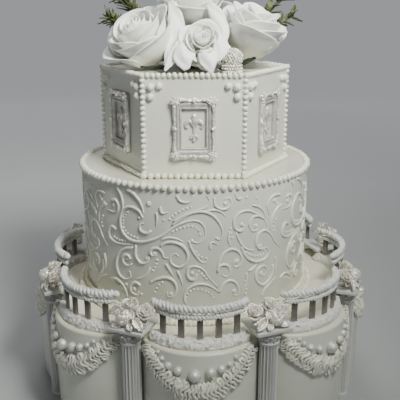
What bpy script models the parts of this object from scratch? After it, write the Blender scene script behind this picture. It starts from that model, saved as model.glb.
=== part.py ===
"""A three-tier wedding cake: a petal-shaped bottom tier inside a ring of fluted pillars and curved
balustrades, a round middle tier, a six-sided top tier with framed lilies, and a posy of roses."""

import math

import bmesh
import bpy
from mathutils import Matrix, Vector

# Clearance that touching pieces keep, in metres like every size here
GAP = 0.0003

# Bottom tier: eight lobes round a petal outline, each lobe an arc
LOBES = 8
LOBE_REACH = 0.195
LOBE_RADIUS = 0.066
LOBE_CENTRE = LOBE_REACH - LOBE_RADIUS
LOBE_STEPS = 8
BOTTOM_TOP = 0.120
EDGE_ROUNDING = 0.0025

# Piped border at the foot of a tier: reach beyond the wall and height
FOOT_PROFILE = ((0.0042, 0.0), (0.0050, 0.0030), (0.0026, 0.0064), (0.0, 0.0076))

# The upper tiers stand a little to one side of the bottom tier
UPPER_SHIFT = -0.006

# Middle tier
MIDDLE_RADIUS = 0.1285
MIDDLE_TOP = 0.264
MIDDLE_SIDES = 51
MIDDLE_BEAD = 0.0039

# Top tier
HEX_RADIUS = 0.1035
HEX_TOP = 0.369
HEX_BEADS_PER_EDGE = 17
HEX_BEAD = 0.0029

# Ruffled swag and pearls on each lobe
SWAG_HALF = 0.058
SWAG_LOW = 0.079
SWAG_RISE = 0.036
SWAG_SHIFT = -0.002
SWAG_STATIONS = 11
PEARL_DIAMETERS = (0.0122, 0.0096, 0.0080)
PEARL_STEP = 0.0105
PEARL_LOW = 0.099
PEARL_RISE = 0.017
PEARL_SPREAD = 0.044

# Pillars in the notches between lobes
PILLAR_CENTRE = 0.178
SHAFT_RADIUS = 0.0095
FLUTES = 8
FLUTE_DEPTH = 0.0011
SHAFT_TOP = 0.119
CAPITAL_TOP = 0.1301
PLATE_CENTRE = 0.172
PLATE_SIDE = 0.038
PLATE_THICK = 0.005
PLATE_TOP = CAPITAL_TOP + PLATE_THICK

# Balustrade over each lobe, an arc a little inside the lobe's edge
RAIL_CENTRE = 0.1206
RAIL_RADIUS = 0.0612
RAIL_HALF_ANGLE = math.radians(48.0)
RAIL_STATIONS = 8
BASE_HEIGHT = 0.0096
BALUSTERS = 5
BALUSTER_WIDTH = 0.0060
BALUSTER_THICK = 0.0026
BALUSTER_PITCH = 0.0180
LOWER_ROPE = 0.0031
LOWER_ROPE_Z = 0.1522
UPPER_ROPE = 0.0045
UPPER_ROPE_Z = 0.1600
SIDE_RAIL_INSET = 0.011

# Picture frames and lilies on the six faces of the top tier
FRAME_WIDTH = 0.045
FRAME_HEIGHT = 0.063
FRAME_OPEN_WIDTH = 0.025
FRAME_OPEN_HEIGHT = 0.040
FRAME_THICK = 0.0052
FRAME_MIDDLE_Z = 0.3165
LILY_HEIGHT = 0.030
LILY_THICK = 0.0014
CORNER_PEARLS = (
    (0.0435, 0.3575, 0.0039),
    (0.0350, 0.3580, 0.0034),
    (0.0437, 0.3480, 0.0036),
)


def clear_scene():
    for old in list(bpy.data.objects):
        bpy.data.objects.remove(old)


def make_material(name, colour, roughness, metallic=0.0):
    material = bpy.data.materials.new(name)
    material.use_nodes = True
    shader = material.node_tree.nodes["Principled BSDF"]
    shader.inputs["Base Color"].default_value = (*colour, 1.0)
    shader.inputs["Roughness"].default_value = roughness
    shader.inputs["Metallic"].default_value = metallic
    material.diffuse_color = (*colour, 1.0)
    return material


def add_object(name, bm, material):
    """A named object from a bmesh, its faces turned outwards."""
    bmesh.ops.recalc_face_normals(bm, faces=bm.faces)
    mesh = bpy.data.meshes.new(name)
    bm.to_mesh(mesh)
    bm.free()
    mesh.materials.append(material)
    made = bpy.data.objects.new(name, mesh)
    bpy.context.scene.collection.objects.link(made)
    return made


def loft(rings, closed=False):
    """A closed skin over rings of points. An open run is capped at both ends; a closed run meets itself."""
    bm = bmesh.new()
    rows = [[bm.verts.new(point) for point in ring] for ring in rings]
    count = len(rows[0])
    pairs = list(zip(rows, rows[1:]))
    if closed:
        pairs.append((rows[-1], rows[0]))
    for low, high in pairs:
        for i in range(count):
            j = (i + 1) % count
            bm.faces.new((low[i], low[j], high[j], high[i]))
    if not closed:
        bm.faces.new(list(reversed(rows[0])))
        bm.faces.new(rows[-1])
    return bm


def fuse(body, extras):
    """One closed solid from a body and the pieces that grow out of it."""
    group = bpy.data.collections.new(body.name + "_extras")
    for extra in extras:
        group.objects.link(extra)
    join = body.modifiers.new("fuse", "BOOLEAN")
    join.operation = "UNION"
    join.operand_type = "COLLECTION"
    join.collection = group
    join.solver = "MANIFOLD"
    bpy.context.view_layer.update()
    graph = bpy.context.evaluated_depsgraph_get()
    joined = bpy.data.meshes.new_from_object(body.evaluated_get(graph))
    body.modifiers.clear()
    body.data = joined
    for extra in extras:
        bpy.data.objects.remove(extra)
    bpy.data.collections.remove(group)
    return body


def heading(angle):
    """Level unit vector at an angle from the front, which is -Y, turning towards +X."""
    return Vector((math.sin(angle), -math.cos(angle), 0.0))


def lobe_angle(index):
    return math.tau * index / LOBES


def pillar_angle(index):
    return math.tau * (index + 0.5) / LOBES


def lobe_half_angle():
    """Half of a lobe's arc, up to the notch where two lobes meet."""
    notch = math.pi / LOBES
    level = LOBE_CENTRE * math.cos(notch)
    reach = level + math.sqrt(level**2 - LOBE_CENTRE**2 + LOBE_RADIUS**2)
    return math.atan2(reach * math.sin(notch), reach * math.cos(notch) - LOBE_CENTRE)


def wall_point(lobe, along, height, out=0.0):
    """A point on the wall of a lobe, along its arc from the middle, stood off by out."""
    turn = lobe + along / LOBE_RADIUS
    point = heading(lobe) * LOBE_CENTRE + heading(turn) * (LOBE_RADIUS + out)
    point.z = height
    return point


def petal_outline(inset, height):
    """The bottom tier's outline, lobe by lobe, moved in by inset."""
    half = lobe_half_angle()
    points = []
    for index in range(LOBES):
        lobe = lobe_angle(index)
        for step in range(LOBE_STEPS):
            along = half * (2 * step / LOBE_STEPS - 1) * LOBE_RADIUS
            points.append(wall_point(lobe, along, height, -inset))
    return points


def pearl(centre, outward, radius, material):
    """A pearl pressed into icing: its foot, its widest part and its crown."""
    sides = 5 if radius > 0.0045 else 4
    turn = outward.to_track_quat("Z", "Y")
    bm = bmesh.new()
    rows = []
    for reach, level, twist in ((0.86, -0.45, 0.0), (1.0, 0.12, 0.5)):
        row = []
        for side in range(sides):
            angle = math.tau * (side + twist) / sides
            spot = Vector((reach * math.cos(angle), reach * math.sin(angle), level))
            row.append(bm.verts.new(centre + turn @ spot * radius))
        rows.append(row)
    crown = bm.verts.new(centre + turn @ Vector((0.0, 0.0, radius)))
    foot, belt = rows
    bm.faces.new(list(reversed(foot)))
    for side in range(sides):
        after = (side + 1) % sides
        bm.faces.new((foot[side], foot[after], belt[side]))
        bm.faces.new((foot[after], belt[after], belt[side]))
        bm.faces.new((belt[side], belt[after], crown))
    return add_object("pearl", bm, material)


def swag_height(along):
    return SWAG_LOW + SWAG_RISE * abs(along / SWAG_HALF) ** 1.9


def swag_ruffle(lobe, material):
    """The ruffled icing that hangs across a lobe, thick and thin by turns."""
    rings = []
    for station in range(SWAG_STATIONS):
        share = 2 * station / (SWAG_STATIONS - 1) - 1
        along = share * SWAG_HALF
        slope = math.atan2(
            swag_height(along + 0.001) - swag_height(along - 0.001), 0.002
        )
        half_width = 0.0115 - 0.0035 * abs(share) ** 2
        proud = (0.0062 if station % 2 else 0.0040) * (1 - 0.35 * abs(share) ** 3)
        ring = []
        for across, out in ((-1.0, -0.0015), (-0.55, proud), (0.6, proud * 0.8), (1.0, -0.0015)):
            shift = across * half_width
            ring.append(
                wall_point(
                    lobe,
                    along - shift * math.sin(slope) + SWAG_SHIFT,
                    min(swag_height(along) + shift * math.cos(slope), BOTTOM_TOP - 0.003),
                    out,
                )
            )
        rings.append(ring)
    return add_object("ruffle", loft(rings), material)


def pearl_places():
    """Where the swag's pearls sit: along the arc, height and diameter, the largest in the middle."""
    places = []
    for rank, diameter in enumerate(PEARL_DIAMETERS):
        along = PEARL_STEP * rank + 0.0008 * rank * (rank > 1)
        height = PEARL_LOW + PEARL_RISE * (along / PEARL_SPREAD) ** 2.2
        places.append((along, height, diameter))
        if rank:
            places.append((-along, height, diameter))
    return places


def bottom_tier(icing):
    rings = [
        petal_outline(0.0, 0.0),
        petal_outline(0.0, BOTTOM_TOP - EDGE_ROUNDING),
        petal_outline(EDGE_ROUNDING, BOTTOM_TOP),
    ]
    body = add_object("bottom_tier", loft(rings), icing)
    extras = []
    for index in range(LOBES):
        lobe = lobe_angle(index)
        extras.append(swag_ruffle(lobe, icing))
        for along, height, diameter in pearl_places():
            centre = wall_point(lobe, along, height, 0.20 * diameter - 0.0007)
            outward = heading(lobe + along / LOBE_RADIUS)
            extras.append(pearl(centre, outward, diameter / 2, icing))
    return fuse(body, extras)


def circle(radius, height, sides):
    return [
        heading(math.tau * side / sides) * radius + Vector((0.0, 0.0, height))
        for side in range(sides)
    ]


def beaded_tier(name, outline, steps, beads_from, radius, base, top, material):
    """A tier in one skin: foot border, wall and a rim of beads. outline gives the wall's corners,
    steps the stations along each side, beads_from the station on a side that the beads start from."""
    up = Vector((0.0, 0.0, 1.0))
    count = len(outline)
    bm = bmesh.new()
    levels = []
    for out, lift in FOOT_PROFILE:
        level = []
        for corner in outline:
            point = corner * (1 + out / corner.length) + up * (base + lift)
            level.append(bm.verts.new(point))
        levels.append(level)
    for low, high in zip(levels, levels[1:]):
        for i in range(count):
            j = (i + 1) % count
            bm.faces.new((low[i], low[j], high[j], high[i]))
    bm.faces.new(list(reversed(levels[0])))
    under, crest, inner = [], [], []
    starts = []
    for i, corner in enumerate(outline):
        starts.append(len(under))
        after = outline[(i + 1) % count]
        for step in range(steps[i % len(steps)]):
            point = corner.lerp(after, step / steps[i % len(steps)]) + up * top
            outward = Vector((point.x, point.y, 0.0)).normalized()
            size = radius if (step + beads_from) % 2 else 0.6 * radius
            under.append(bm.verts.new(point - up * 0.95 * size))
            crest.append(bm.verts.new(point + (outward + up) * 0.78 * size))
            inner.append(bm.verts.new(point - outward * 0.95 * size))
    total = len(under)
    for i in range(total):
        j = (i + 1) % total
        bm.faces.new((under[i], under[j], crest[j], crest[i]))
        bm.faces.new((crest[i], crest[j], inner[j], inner[i]))
    bm.faces.new(inner)
    wall = levels[-1]
    for i in range(count):
        j = (i + 1) % count
        first = starts[i]
        last = starts[j] if j else total
        edge = [under[k % total] for k in range(first, last + 1)]
        bm.faces.new([wall[i], wall[j]] + list(reversed(edge)))
    return add_object(name, bm, material)


def middle_tier(icing):
    outline = circle(MIDDLE_RADIUS, 0.0, MIDDLE_SIDES)
    base = BOTTOM_TOP + GAP
    body = beaded_tier("middle_tier", outline, (4,), 0, MIDDLE_BEAD, base, MIDDLE_TOP, icing)
    body.location.x = UPPER_SHIFT
    return body


def hex_corner(index, radius=HEX_RADIUS):
    return heading(math.tau * (index + 0.5) / 6) * radius


def hex_outline():
    """The top tier's outline: six flat sides with an upright border on each corner."""
    points = []
    for index in range(6):
        corner = hex_corner(index)
        points.append(corner.lerp(hex_corner(index - 1), 2.0 * HEX_BEAD / HEX_RADIUS))
        points.append(corner + corner.normalized() * 0.6 * HEX_BEAD)
        points.append(corner.lerp(hex_corner(index + 1), 2.0 * HEX_BEAD / HEX_RADIUS))
    return points


def top_tier(icing):
    base = MIDDLE_TOP + GAP
    steps = (1, 1, 2 * HEX_BEADS_PER_EDGE)
    body = beaded_tier("top_tier", hex_outline(), steps, 1, HEX_BEAD, base, HEX_TOP, icing)
    extras = []
    face_distance = HEX_RADIUS * math.cos(math.pi / 6)
    for index in range(6):
        outward = heading(math.tau * index / 6)
        side = Vector((-outward.y, outward.x, 0.0))
        for across, height, radius in CORNER_PEARLS:
            for hand in (-1, 1):
                centre = outward * (face_distance + 0.25 * radius) + side * across * hand
                centre.z = height
                extras.append(pearl(centre, outward, radius, icing))
    fuse(body, extras)
    body.location.x = UPPER_SHIFT
    return body


def pillar(index, plaster):
    """A fluted shaft under a flared capital and a square plate, standing in the notch between lobes."""
    low = circle(SHAFT_RADIUS, 0.0, 2 * FLUTES)
    for i in range(0, 2 * FLUTES, 2):
        low[i] *= (SHAFT_RADIUS - FLUTE_DEPTH) / SHAFT_RADIUS
    high = [point + Vector((0.0, 0.0, SHAFT_TOP + 0.001)) for point in low]
    shaft = add_object(f"pillar_{index + 1}", loft([low, high]), plaster)
    capital_profile = (
        (0.0110, SHAFT_TOP),
        (0.0102, SHAFT_TOP + 0.003),
        (0.0128, CAPITAL_TOP + 0.001),
    )
    capital = add_object(
        "capital", loft([circle(r, z, 8) for r, z in capital_profile]), plaster
    )
    # The plate reaches further in than out, over the edge of the tier
    offset = PILLAR_CENTRE - PLATE_CENTRE
    half = PLATE_SIDE / 2
    plate_rings = []
    for height, inset in (
        (CAPITAL_TOP, 0.0022),
        (CAPITAL_TOP + 0.0018, 0.0),
        (PLATE_TOP, 0.0),
    ):
        reach = half - inset
        plate_rings.append(
            [
                Vector((x * reach, y * reach + offset, height))
                for x, y in ((-1, -1), (1, -1), (1, 1), (-1, 1))
            ]
        )
    plate = add_object("plate", loft(plate_rings), plaster)
    fuse(shaft, [capital, plate])
    shaft.location = heading(pillar_angle(index)) * PILLAR_CENTRE
    shaft.rotation_euler.z = pillar_angle(index)
    return shaft


def rail_section(turn, profile):
    """One cross-section of a curved rail, in the frame of a front-facing lobe."""
    centre = heading(0.0) * RAIL_CENTRE
    return [
        centre + heading(turn) * (RAIL_RADIUS + out) + Vector((0.0, 0.0, height))
        for out, height in profile
    ]


def rail_place(index):
    """The balustrades at the far left and right stand further in than the others."""
    inset = SIDE_RAIL_INSET if index % 4 == 2 else 0.0
    return -heading(lobe_angle(index)) * inset


def rail_turns(count, half):
    return [half * (2 * i / (count - 1) - 1) for i in range(count)]


def rail_base(index, icing):
    """The piped band on the tier's top that the balusters stand in."""
    floor = BOTTOM_TOP + GAP
    profile = (
        (0.0066, floor),
        (0.0046, floor + 0.0066),
        (0.0018, floor + BASE_HEIGHT),
        (-0.0026, floor + BASE_HEIGHT),
        (-0.0064, floor),
    )
    half = RAIL_HALF_ANGLE - 0.02
    rings = [rail_section(turn, profile) for turn in rail_turns(RAIL_STATIONS, half)]
    band = add_object(f"rail_base_{index + 1}", loft(rings), icing)
    band.location = rail_place(index)
    band.rotation_euler.z = lobe_angle(index)
    return band


def rail(index, icing):
    """Two stacked ropes of icing on a row of flat balusters."""
    half_low = LOWER_ROPE
    half_high = UPPER_ROPE
    profile = (
        (half_low * 0.7, LOWER_ROPE_Z - half_low * 0.8),
        (half_low, LOWER_ROPE_Z + half_low * 0.5),
        (half_high, UPPER_ROPE_Z),
        (0.0, UPPER_ROPE_Z + half_high),
        (-half_high, UPPER_ROPE_Z),
        (-half_low, LOWER_ROPE_Z + half_low * 0.5),
        (-half_low * 0.7, LOWER_ROPE_Z - half_low * 0.8),
    )
    rings = [rail_section(turn, profile) for turn in rail_turns(RAIL_STATIONS, RAIL_HALF_ANGLE)]
    ropes = add_object(f"rail_{index + 1}", loft(rings), icing)
    foot = BOTTOM_TOP + GAP + BASE_HEIGHT + GAP
    slats = []
    for step in range(BALUSTERS):
        across = BALUSTER_PITCH * (step - (BALUSTERS - 1) / 2)
        turn = math.asin(across / RAIL_RADIUS)
        centre = heading(0.0) * RAIL_CENTRE + heading(turn) * RAIL_RADIUS
        side = heading(turn + math.pi / 2) * BALUSTER_WIDTH / 2
        out = heading(turn) * BALUSTER_THICK / 2
        corners = [centre + side + out, centre - side + out, centre - side - out, centre + side - out]
        slat_rings = []
        for height in (foot, LOWER_ROPE_Z):
            slat_rings.append([corner + Vector((0.0, 0.0, height)) for corner in corners])
        slats.append(add_object("slat", loft(slat_rings), icing))
    fuse(ropes, slats)
    ropes.location = rail_place(index)
    ropes.rotation_euler.z = lobe_angle(index)
    return ropes


# Whorls of a bloom from the stem to the heart: reach, height, depth of the petals' waves, half turns
ROSE_WHORLS = (
    (0.30, 0.00, 0.00, 0),
    (0.80, 0.30, 0.04, 0),
    (1.00, 0.72, 0.10, 0),
    (0.66, 0.66, 0.05, 1),
    (0.60, 0.96, 0.08, 1),
    (0.34, 0.84, 0.05, 0),
    (0.22, 1.00, 0.02, 0),
)
BUD_WHORLS = ((0.45, 0.00, 0.00, 0), (1.00, 0.60, 0.12, 0), (0.40, 1.00, 0.08, 1))


def rosette(whorls, radius, depth, petals, points_per_petal=2, stem=0.0, stem_radius=0.002):
    """A many-petalled bloom about +Z: a cup whose whorls rise and fall with the petals."""
    count = petals * points_per_petal
    rings = []
    if stem:
        rings.append([Vector(stem_point(stem_radius, i, count, -stem)) for i in range(count)])
    for reach, level, lobing, half_turns in whorls:
        ring = []
        for i in range(count):
            turn = math.tau * i / count
            wave = math.cos(petals * turn + math.pi * half_turns)
            r = radius * (reach + lobing * wave)
            z = depth * (level + 0.6 * lobing * wave)
            ring.append(Vector((r * math.cos(turn), r * math.sin(turn), z)))
        rings.append(ring)
    return loft(rings)


def stem_point(radius, i, count, height):
    turn = math.tau * i / count
    return radius * math.cos(turn), radius * math.sin(turn), height


def leaf(length, width, thick):
    """A thin leaf along +X from the origin, raised along its midrib, both faces split alike."""
    outline = [(0.0, 0.0, 0.0), (0.45, -0.5, 0.0), (1.0, 0.0, -0.12), (0.45, 0.5, 0.0)]
    middle = (0.5, 0.0, 0.14)
    bm = bmesh.new()
    faces = []
    for lift in (thick / 2, -thick / 2):
        ring = []
        for x, y, z in outline:
            ring.append(bm.verts.new((x * length, y * width, z * width + lift)))
        heart = bm.verts.new((middle[0] * length, middle[1] * width, middle[2] * width + lift))
        for i in range(4):
            bm.faces.new((ring[i], ring[(i + 1) % 4], heart))
        faces.append(ring)
    for i in range(4):
        j = (i + 1) % 4
        bm.faces.new((faces[0][i], faces[0][j], faces[1][j]))
        bm.faces.new((faces[0][i], faces[1][j], faces[1][i]))
    return bm


def aim(direction):
    return Vector(direction).to_track_quat("Z", "Y").to_matrix().to_4x4()


def spray(index, pearl_icing):
    """Three small roses and their leaves on a pillar's plate, left and right mirrored."""
    floor = PLATE_TOP + GAP
    hand = 1.0 if index >= LOBES // 2 else -1.0
    mound_rings = [
        circle(0.0140, 0.0, 6),
        circle(0.0100, 0.0125, 6),
    ]
    body = add_object(f"spray_{index + 1}", loft(mound_rings), pearl_icing)
    blooms = (
        ((-0.0062, -0.0068, 0.0065), (-0.32, -0.72, 0.62), 0.0096),
        ((0.0078, -0.0042, 0.0090), (0.42, -0.45, 0.78), 0.0088),
        ((-0.0015, 0.0030, 0.0125), (-0.08, -0.25, 0.96), 0.0090),
    )
    extras = []
    for place, direction, radius in blooms:
        bm = rosette(BUD_WHORLS, radius, radius * 1.3, 3)
        spot = Vector((place[0] * hand, place[1], place[2]))
        facing = (direction[0] * hand, direction[1], direction[2])
        bm.transform(Matrix.Translation(spot) @ aim(facing))
        extras.append(add_object("bloom", bm, pearl_icing))
    leaves = (
        ((0.0045, -0.0045, 0.0085), -40.0, 22.0, 0.0185),
        ((-0.0050, -0.0020, 0.0065), 188.0, 8.0, 0.0170),
        ((0.0040, 0.0030, 0.0065), 20.0, 5.0, 0.0160),
    )
    for place, turn, droop, length in leaves:
        bm = leaf(length, length * 0.62, 0.0011)
        tilt = Matrix.Rotation(math.radians(droop), 4, "Y")
        spot = Vector((place[0] * hand, place[1], place[2]))
        around = math.radians(turn if hand > 0.0 else 180.0 - turn)
        bm.transform(Matrix.Translation(spot) @ Matrix.Rotation(around, 4, "Z") @ tilt)
        extras.append(add_object("leaf", bm, pearl_icing))
    fuse(body, extras)
    body.location = heading(pillar_angle(index)) * (PLATE_CENTRE + 0.004) + Vector((0.0, 0.0, floor))
    body.rotation_euler.z = pillar_angle(index)
    return body


def face_place(index, height, standoff):
    """Turns and moves a piece made facing -Y at the origin onto a face of the top tier."""
    distance = HEX_RADIUS * math.cos(math.pi / 6) + GAP + standoff
    turn = math.tau * index / 6
    place = heading(turn) * distance + Vector((UPPER_SHIFT, 0.0, height))
    return place, turn


def rectangle(width, height, swell, depth):
    """Twelve points round a rectangle in the XZ plane, its corners and middles swollen outwards."""
    stops = (
        (-1.0, -1.0), (0.0, -1.0), (1.0, -1.0), (1.0, -0.5), (1.0, 0.0), (1.0, 0.5),
        (1.0, 1.0), (0.0, 1.0), (-1.0, 1.0), (-1.0, 0.5), (-1.0, 0.0), (-1.0, -0.5),
    )
    points = []
    for x, z in stops:
        grow = 0.0 if abs(z) == 0.5 else swell
        points.append(Vector((x * (width / 2 + grow), depth, z * (height / 2 + grow))))
    return points


def picture_frame(index, silver):
    """An ornate frame: a thick moulding with swollen corners and middles round an open panel."""
    swell = 0.0016
    plain_width = FRAME_WIDTH - 2 * swell
    plain_height = FRAME_HEIGHT - 2 * swell
    rings = [
        rectangle(plain_width, plain_height, swell, 0.0),
        rectangle(plain_width, plain_height, swell, -0.55 * FRAME_THICK),
        rectangle(plain_width * 0.82, plain_height * 0.87, swell * 0.6, -FRAME_THICK),
        rectangle(FRAME_OPEN_WIDTH, FRAME_OPEN_HEIGHT, 0.0, -0.45 * FRAME_THICK),
        rectangle(FRAME_OPEN_WIDTH, FRAME_OPEN_HEIGHT, 0.0, 0.0),
    ]
    made = add_object(f"frame_{index + 1}", loft(rings, closed=True), silver)
    made.location, made.rotation_euler.z = face_place(index, FRAME_MIDDLE_Z, 0.0)
    return made


def lily(index, silver):
    """A heraldic lily cut from a thin sheet: a tall petal, two that curl down, a band and a foot."""
    half = (
        (0.000, 1.00), (0.100, 0.74), (0.045, 0.52), (0.150, 0.64), (0.275, 0.58),
        (0.265, 0.39), (0.190, 0.50), (0.060, 0.40), (0.140, 0.26), (0.100, 0.13), (0.000, 0.00),
    )
    right = [(x * LILY_HEIGHT, (z - 0.5) * LILY_HEIGHT) for x, z in half]
    left = [(-x, z) for x, z in reversed(right[1:-1])]
    rings = []
    for depth in (0.0, -LILY_THICK):
        rings.append([Vector((x, depth, z)) for x, z in right + left])
    made = add_object(f"lily_{index + 1}", loft(rings), silver)
    made.location, made.rotation_euler.z = face_place(index, FRAME_MIDDLE_Z + 0.0006, 0.0)
    return made


# Roses of the posy: name, centre of the cup's base, direction faced, radius, cup depth, stem
ROSES = (
    ("rose_left", (-0.050, -0.035, 0.3830), (-0.44, -0.42, 0.79), 0.0370, 0.048, 0.012),
    ("rose_right", (0.046, -0.026, 0.3860), (0.34, -0.22, 0.92), 0.0350, 0.050, 0.010),
    ("rose_front", (0.001, -0.052, 0.3905), (0.06, -0.86, 0.50), 0.0245, 0.034, 0.014),
    ("rose_top", (-0.010, -0.006, 0.4130), (0.00, -0.30, 0.95), 0.0345, 0.046, 0.018),
    ("rose_back_left", (-0.046, 0.034, 0.3880), (-0.55, 0.50, 0.70), 0.0330, 0.044, 0.012),
    ("rose_back_right", (0.038, 0.036, 0.3880), (0.52, 0.52, 0.70), 0.0330, 0.044, 0.012),
    ("rose_back", (-0.005, 0.052, 0.3905), (0.02, 0.86, 0.50), 0.0240, 0.034, 0.014),
)


def posy_rose(name, place, direction, radius, depth, stem, silk):
    bm = rosette(ROSE_WHORLS, radius, depth, 6, 2, stem, 0.0022)
    made = add_object(name, bm, silk)
    made.location = place
    made.rotation_mode = "QUATERNION"
    made.rotation_quaternion = Vector(direction).to_track_quat("Z", "Y")
    return made


def posy_core(green):
    """The clump of leaves that the roses are set in."""
    floor = HEX_TOP + GAP
    rings = [
        circle(0.0200, floor, 10),
        circle(0.0230, floor + 0.0060, 10),
        circle(0.0150, floor + 0.0140, 10),
    ]
    made = add_object("posy_core", loft(rings), green)
    made.location.x = UPPER_SHIFT
    return made


def sprig(name, start, end, leaves, length, green):
    """A thin stem with leaves set along it by turns, left, right and above."""
    start, end = Vector(start), Vector(end)
    along = end - start
    turn = aim(along)
    stem = add_object(name, loft([circle(0.0011, 0.0, 5), circle(0.0007, along.length, 5)]), green)
    extras = []
    for i in range(leaves):
        share = 0.35 + 0.62 * i / (leaves - 1)
        bm = leaf(length * (1.1 - 0.4 * share), length * 0.36, 0.0009)
        lift = Matrix.Rotation(math.radians(-48.0), 4, "Y")
        spin = Matrix.Rotation(i * math.radians(137.5), 4, "Z")
        bm.transform(Matrix.Translation((0.0, 0.0, along.length * share)) @ spin @ lift)
        extras.append(add_object("leaf", bm, green))
    fuse(stem, extras)
    stem.location = start
    stem.rotation_mode = "QUATERNION"
    stem.rotation_quaternion = turn.to_quaternion()
    return stem


def jewel_bud(silver):
    """A small bead-crusted bud beside the front rose, on a short calyx."""
    bm = bmesh.new()
    bmesh.ops.create_uvsphere(bm, u_segments=8, v_segments=5, radius=0.0100)
    bmesh.ops.scale(bm, vec=(1.0, 0.9, 1.0), verts=bm.verts)
    made = add_object("jewel_bud", bm, silver)
    floor = HEX_TOP + GAP - 0.3845
    calyx = [circle(0.0045, floor, 6), circle(0.0062, -0.0060, 6)]
    fuse(made, [add_object("calyx", loft(calyx), silver)])
    made.location = (0.0325, -0.0690, 0.3845)
    return made


def main():
    clear_scene()
    icing = make_material("ivory_icing", (0.80, 0.80, 0.74), 0.45)
    plaster = make_material("pillar_white", (0.70, 0.71, 0.69), 0.5)
    rope_icing = make_material("rope_icing", (0.80, 0.82, 0.83), 0.5)
    pearl_icing = make_material("champagne_pearl", (0.74, 0.70, 0.64), 0.3, 0.2)
    silver = make_material("silver_lustre", (0.70, 0.67, 0.66), 0.3, 0.4)
    silk = make_material("white_silk", (0.88, 0.89, 0.87), 0.6)
    green = make_material("dark_leaf", (0.06, 0.09, 0.04), 0.6)
    bottom_tier(icing)
    middle_tier(icing)
    top_tier(icing)
    for index in range(LOBES):
        pillar(index, plaster)
        rail_base(index, rope_icing)
        rail(index, rope_icing)
        spray(index, pearl_icing)
    for index in range(6):
        picture_frame(index, silver)
        lily(index, silver)
    for rose in ROSES:
        posy_rose(*rose, silk)
    posy_core(green)
    sprig("foliage_left", (-0.040, 0.004, 0.3800), (-0.092, 0.014, 0.4500), 7, 0.017, green)
    sprig("foliage_right", (0.046, 0.014, 0.3860), (0.098, 0.006, 0.4560), 7, 0.017, green)
    jewel_bud(silver)


main()
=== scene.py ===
"""The looks of a three-tier wedding cake: ivory icing, piped swags and scrollwork, pearls, fluted
pillars with balustrades, lustred sprays and frames, and a posy of silk roses."""

import math
import random

import bmesh
import bpy
from mathutils import Matrix, Vector, noise


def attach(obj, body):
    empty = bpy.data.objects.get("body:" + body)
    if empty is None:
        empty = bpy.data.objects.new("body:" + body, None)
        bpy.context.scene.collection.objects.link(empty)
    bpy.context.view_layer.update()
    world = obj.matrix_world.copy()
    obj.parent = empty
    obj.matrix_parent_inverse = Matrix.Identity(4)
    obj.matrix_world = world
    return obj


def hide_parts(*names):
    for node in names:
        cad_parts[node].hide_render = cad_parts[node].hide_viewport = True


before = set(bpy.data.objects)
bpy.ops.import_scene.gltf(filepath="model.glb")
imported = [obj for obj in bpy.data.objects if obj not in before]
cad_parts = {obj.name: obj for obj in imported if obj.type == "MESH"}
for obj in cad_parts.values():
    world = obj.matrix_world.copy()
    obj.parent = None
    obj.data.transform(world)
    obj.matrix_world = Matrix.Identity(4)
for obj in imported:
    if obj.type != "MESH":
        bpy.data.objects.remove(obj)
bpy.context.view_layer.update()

# Sizes of the cake in metres, the same as its solids
GAP = 0.0003
LOBES = 8
LOBE_REACH = 0.195
LOBE_RADIUS = 0.066
LOBE_CENTRE = LOBE_REACH - LOBE_RADIUS
BOTTOM_TOP = 0.120
EDGE_ROUNDING = 0.0025
UPPER_SHIFT = -0.006
MIDDLE_RADIUS = 0.1285
MIDDLE_TOP = 0.264
MIDDLE_BEAD = 0.0039
HEX_RADIUS = 0.1035
HEX_TOP = 0.369
HEX_FACE = HEX_RADIUS * math.cos(math.pi / 6)
HEX_BEAD = 0.0029
SWAG_HALF = 0.058
SWAG_LOW = 0.079
SWAG_RISE = 0.036
SWAG_SHIFT = -0.002
PILLAR_CENTRE = 0.178
SHAFT_RADIUS = 0.0095
SHAFT_TOP = 0.119
CAPITAL_TOP = 0.1301
PLATE_CENTRE = 0.172
PLATE_SIDE = 0.038
PLATE_TOP = 0.1351
RAIL_CENTRE = 0.1206
RAIL_RADIUS = 0.0612
RAIL_HALF_ANGLE = math.radians(48.0)
BAND_HEIGHT = 0.0096
BASE_TOP = BOTTOM_TOP + GAP + BAND_HEIGHT
LOWER_ROPE_Z = 0.1522
UPPER_ROPE_Z = 0.1600
SIDE_RAIL_INSET = 0.011
BALUSTERS = 5
BALUSTER_PITCH = 0.0180
BALUSTER_WIDTH = 0.0060
FRAME_MIDDLE_Z = 0.3165
POSY_FLOOR = HEX_TOP + GAP
PETAL_THICK = 0.0006
NOISE_SEED = 5
LENS = 59.58
SENSOR = 36.0
CAMERA_PLACE = (0.0, -0.7498, 0.4416)
CAMERA_DOWN = 16.92
UP = Vector((0.0, 0.0, 1.0))


def heading(angle):
    """Level unit vector at an angle from the front, which is -Y, turning towards +X."""
    return Vector((math.sin(angle), -math.cos(angle), 0.0))


def lobe_angle(index):
    return math.tau * index / LOBES


def pillar_angle(index):
    return math.tau * (index + 0.5) / LOBES


# Skins, and what is put together from them


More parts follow.
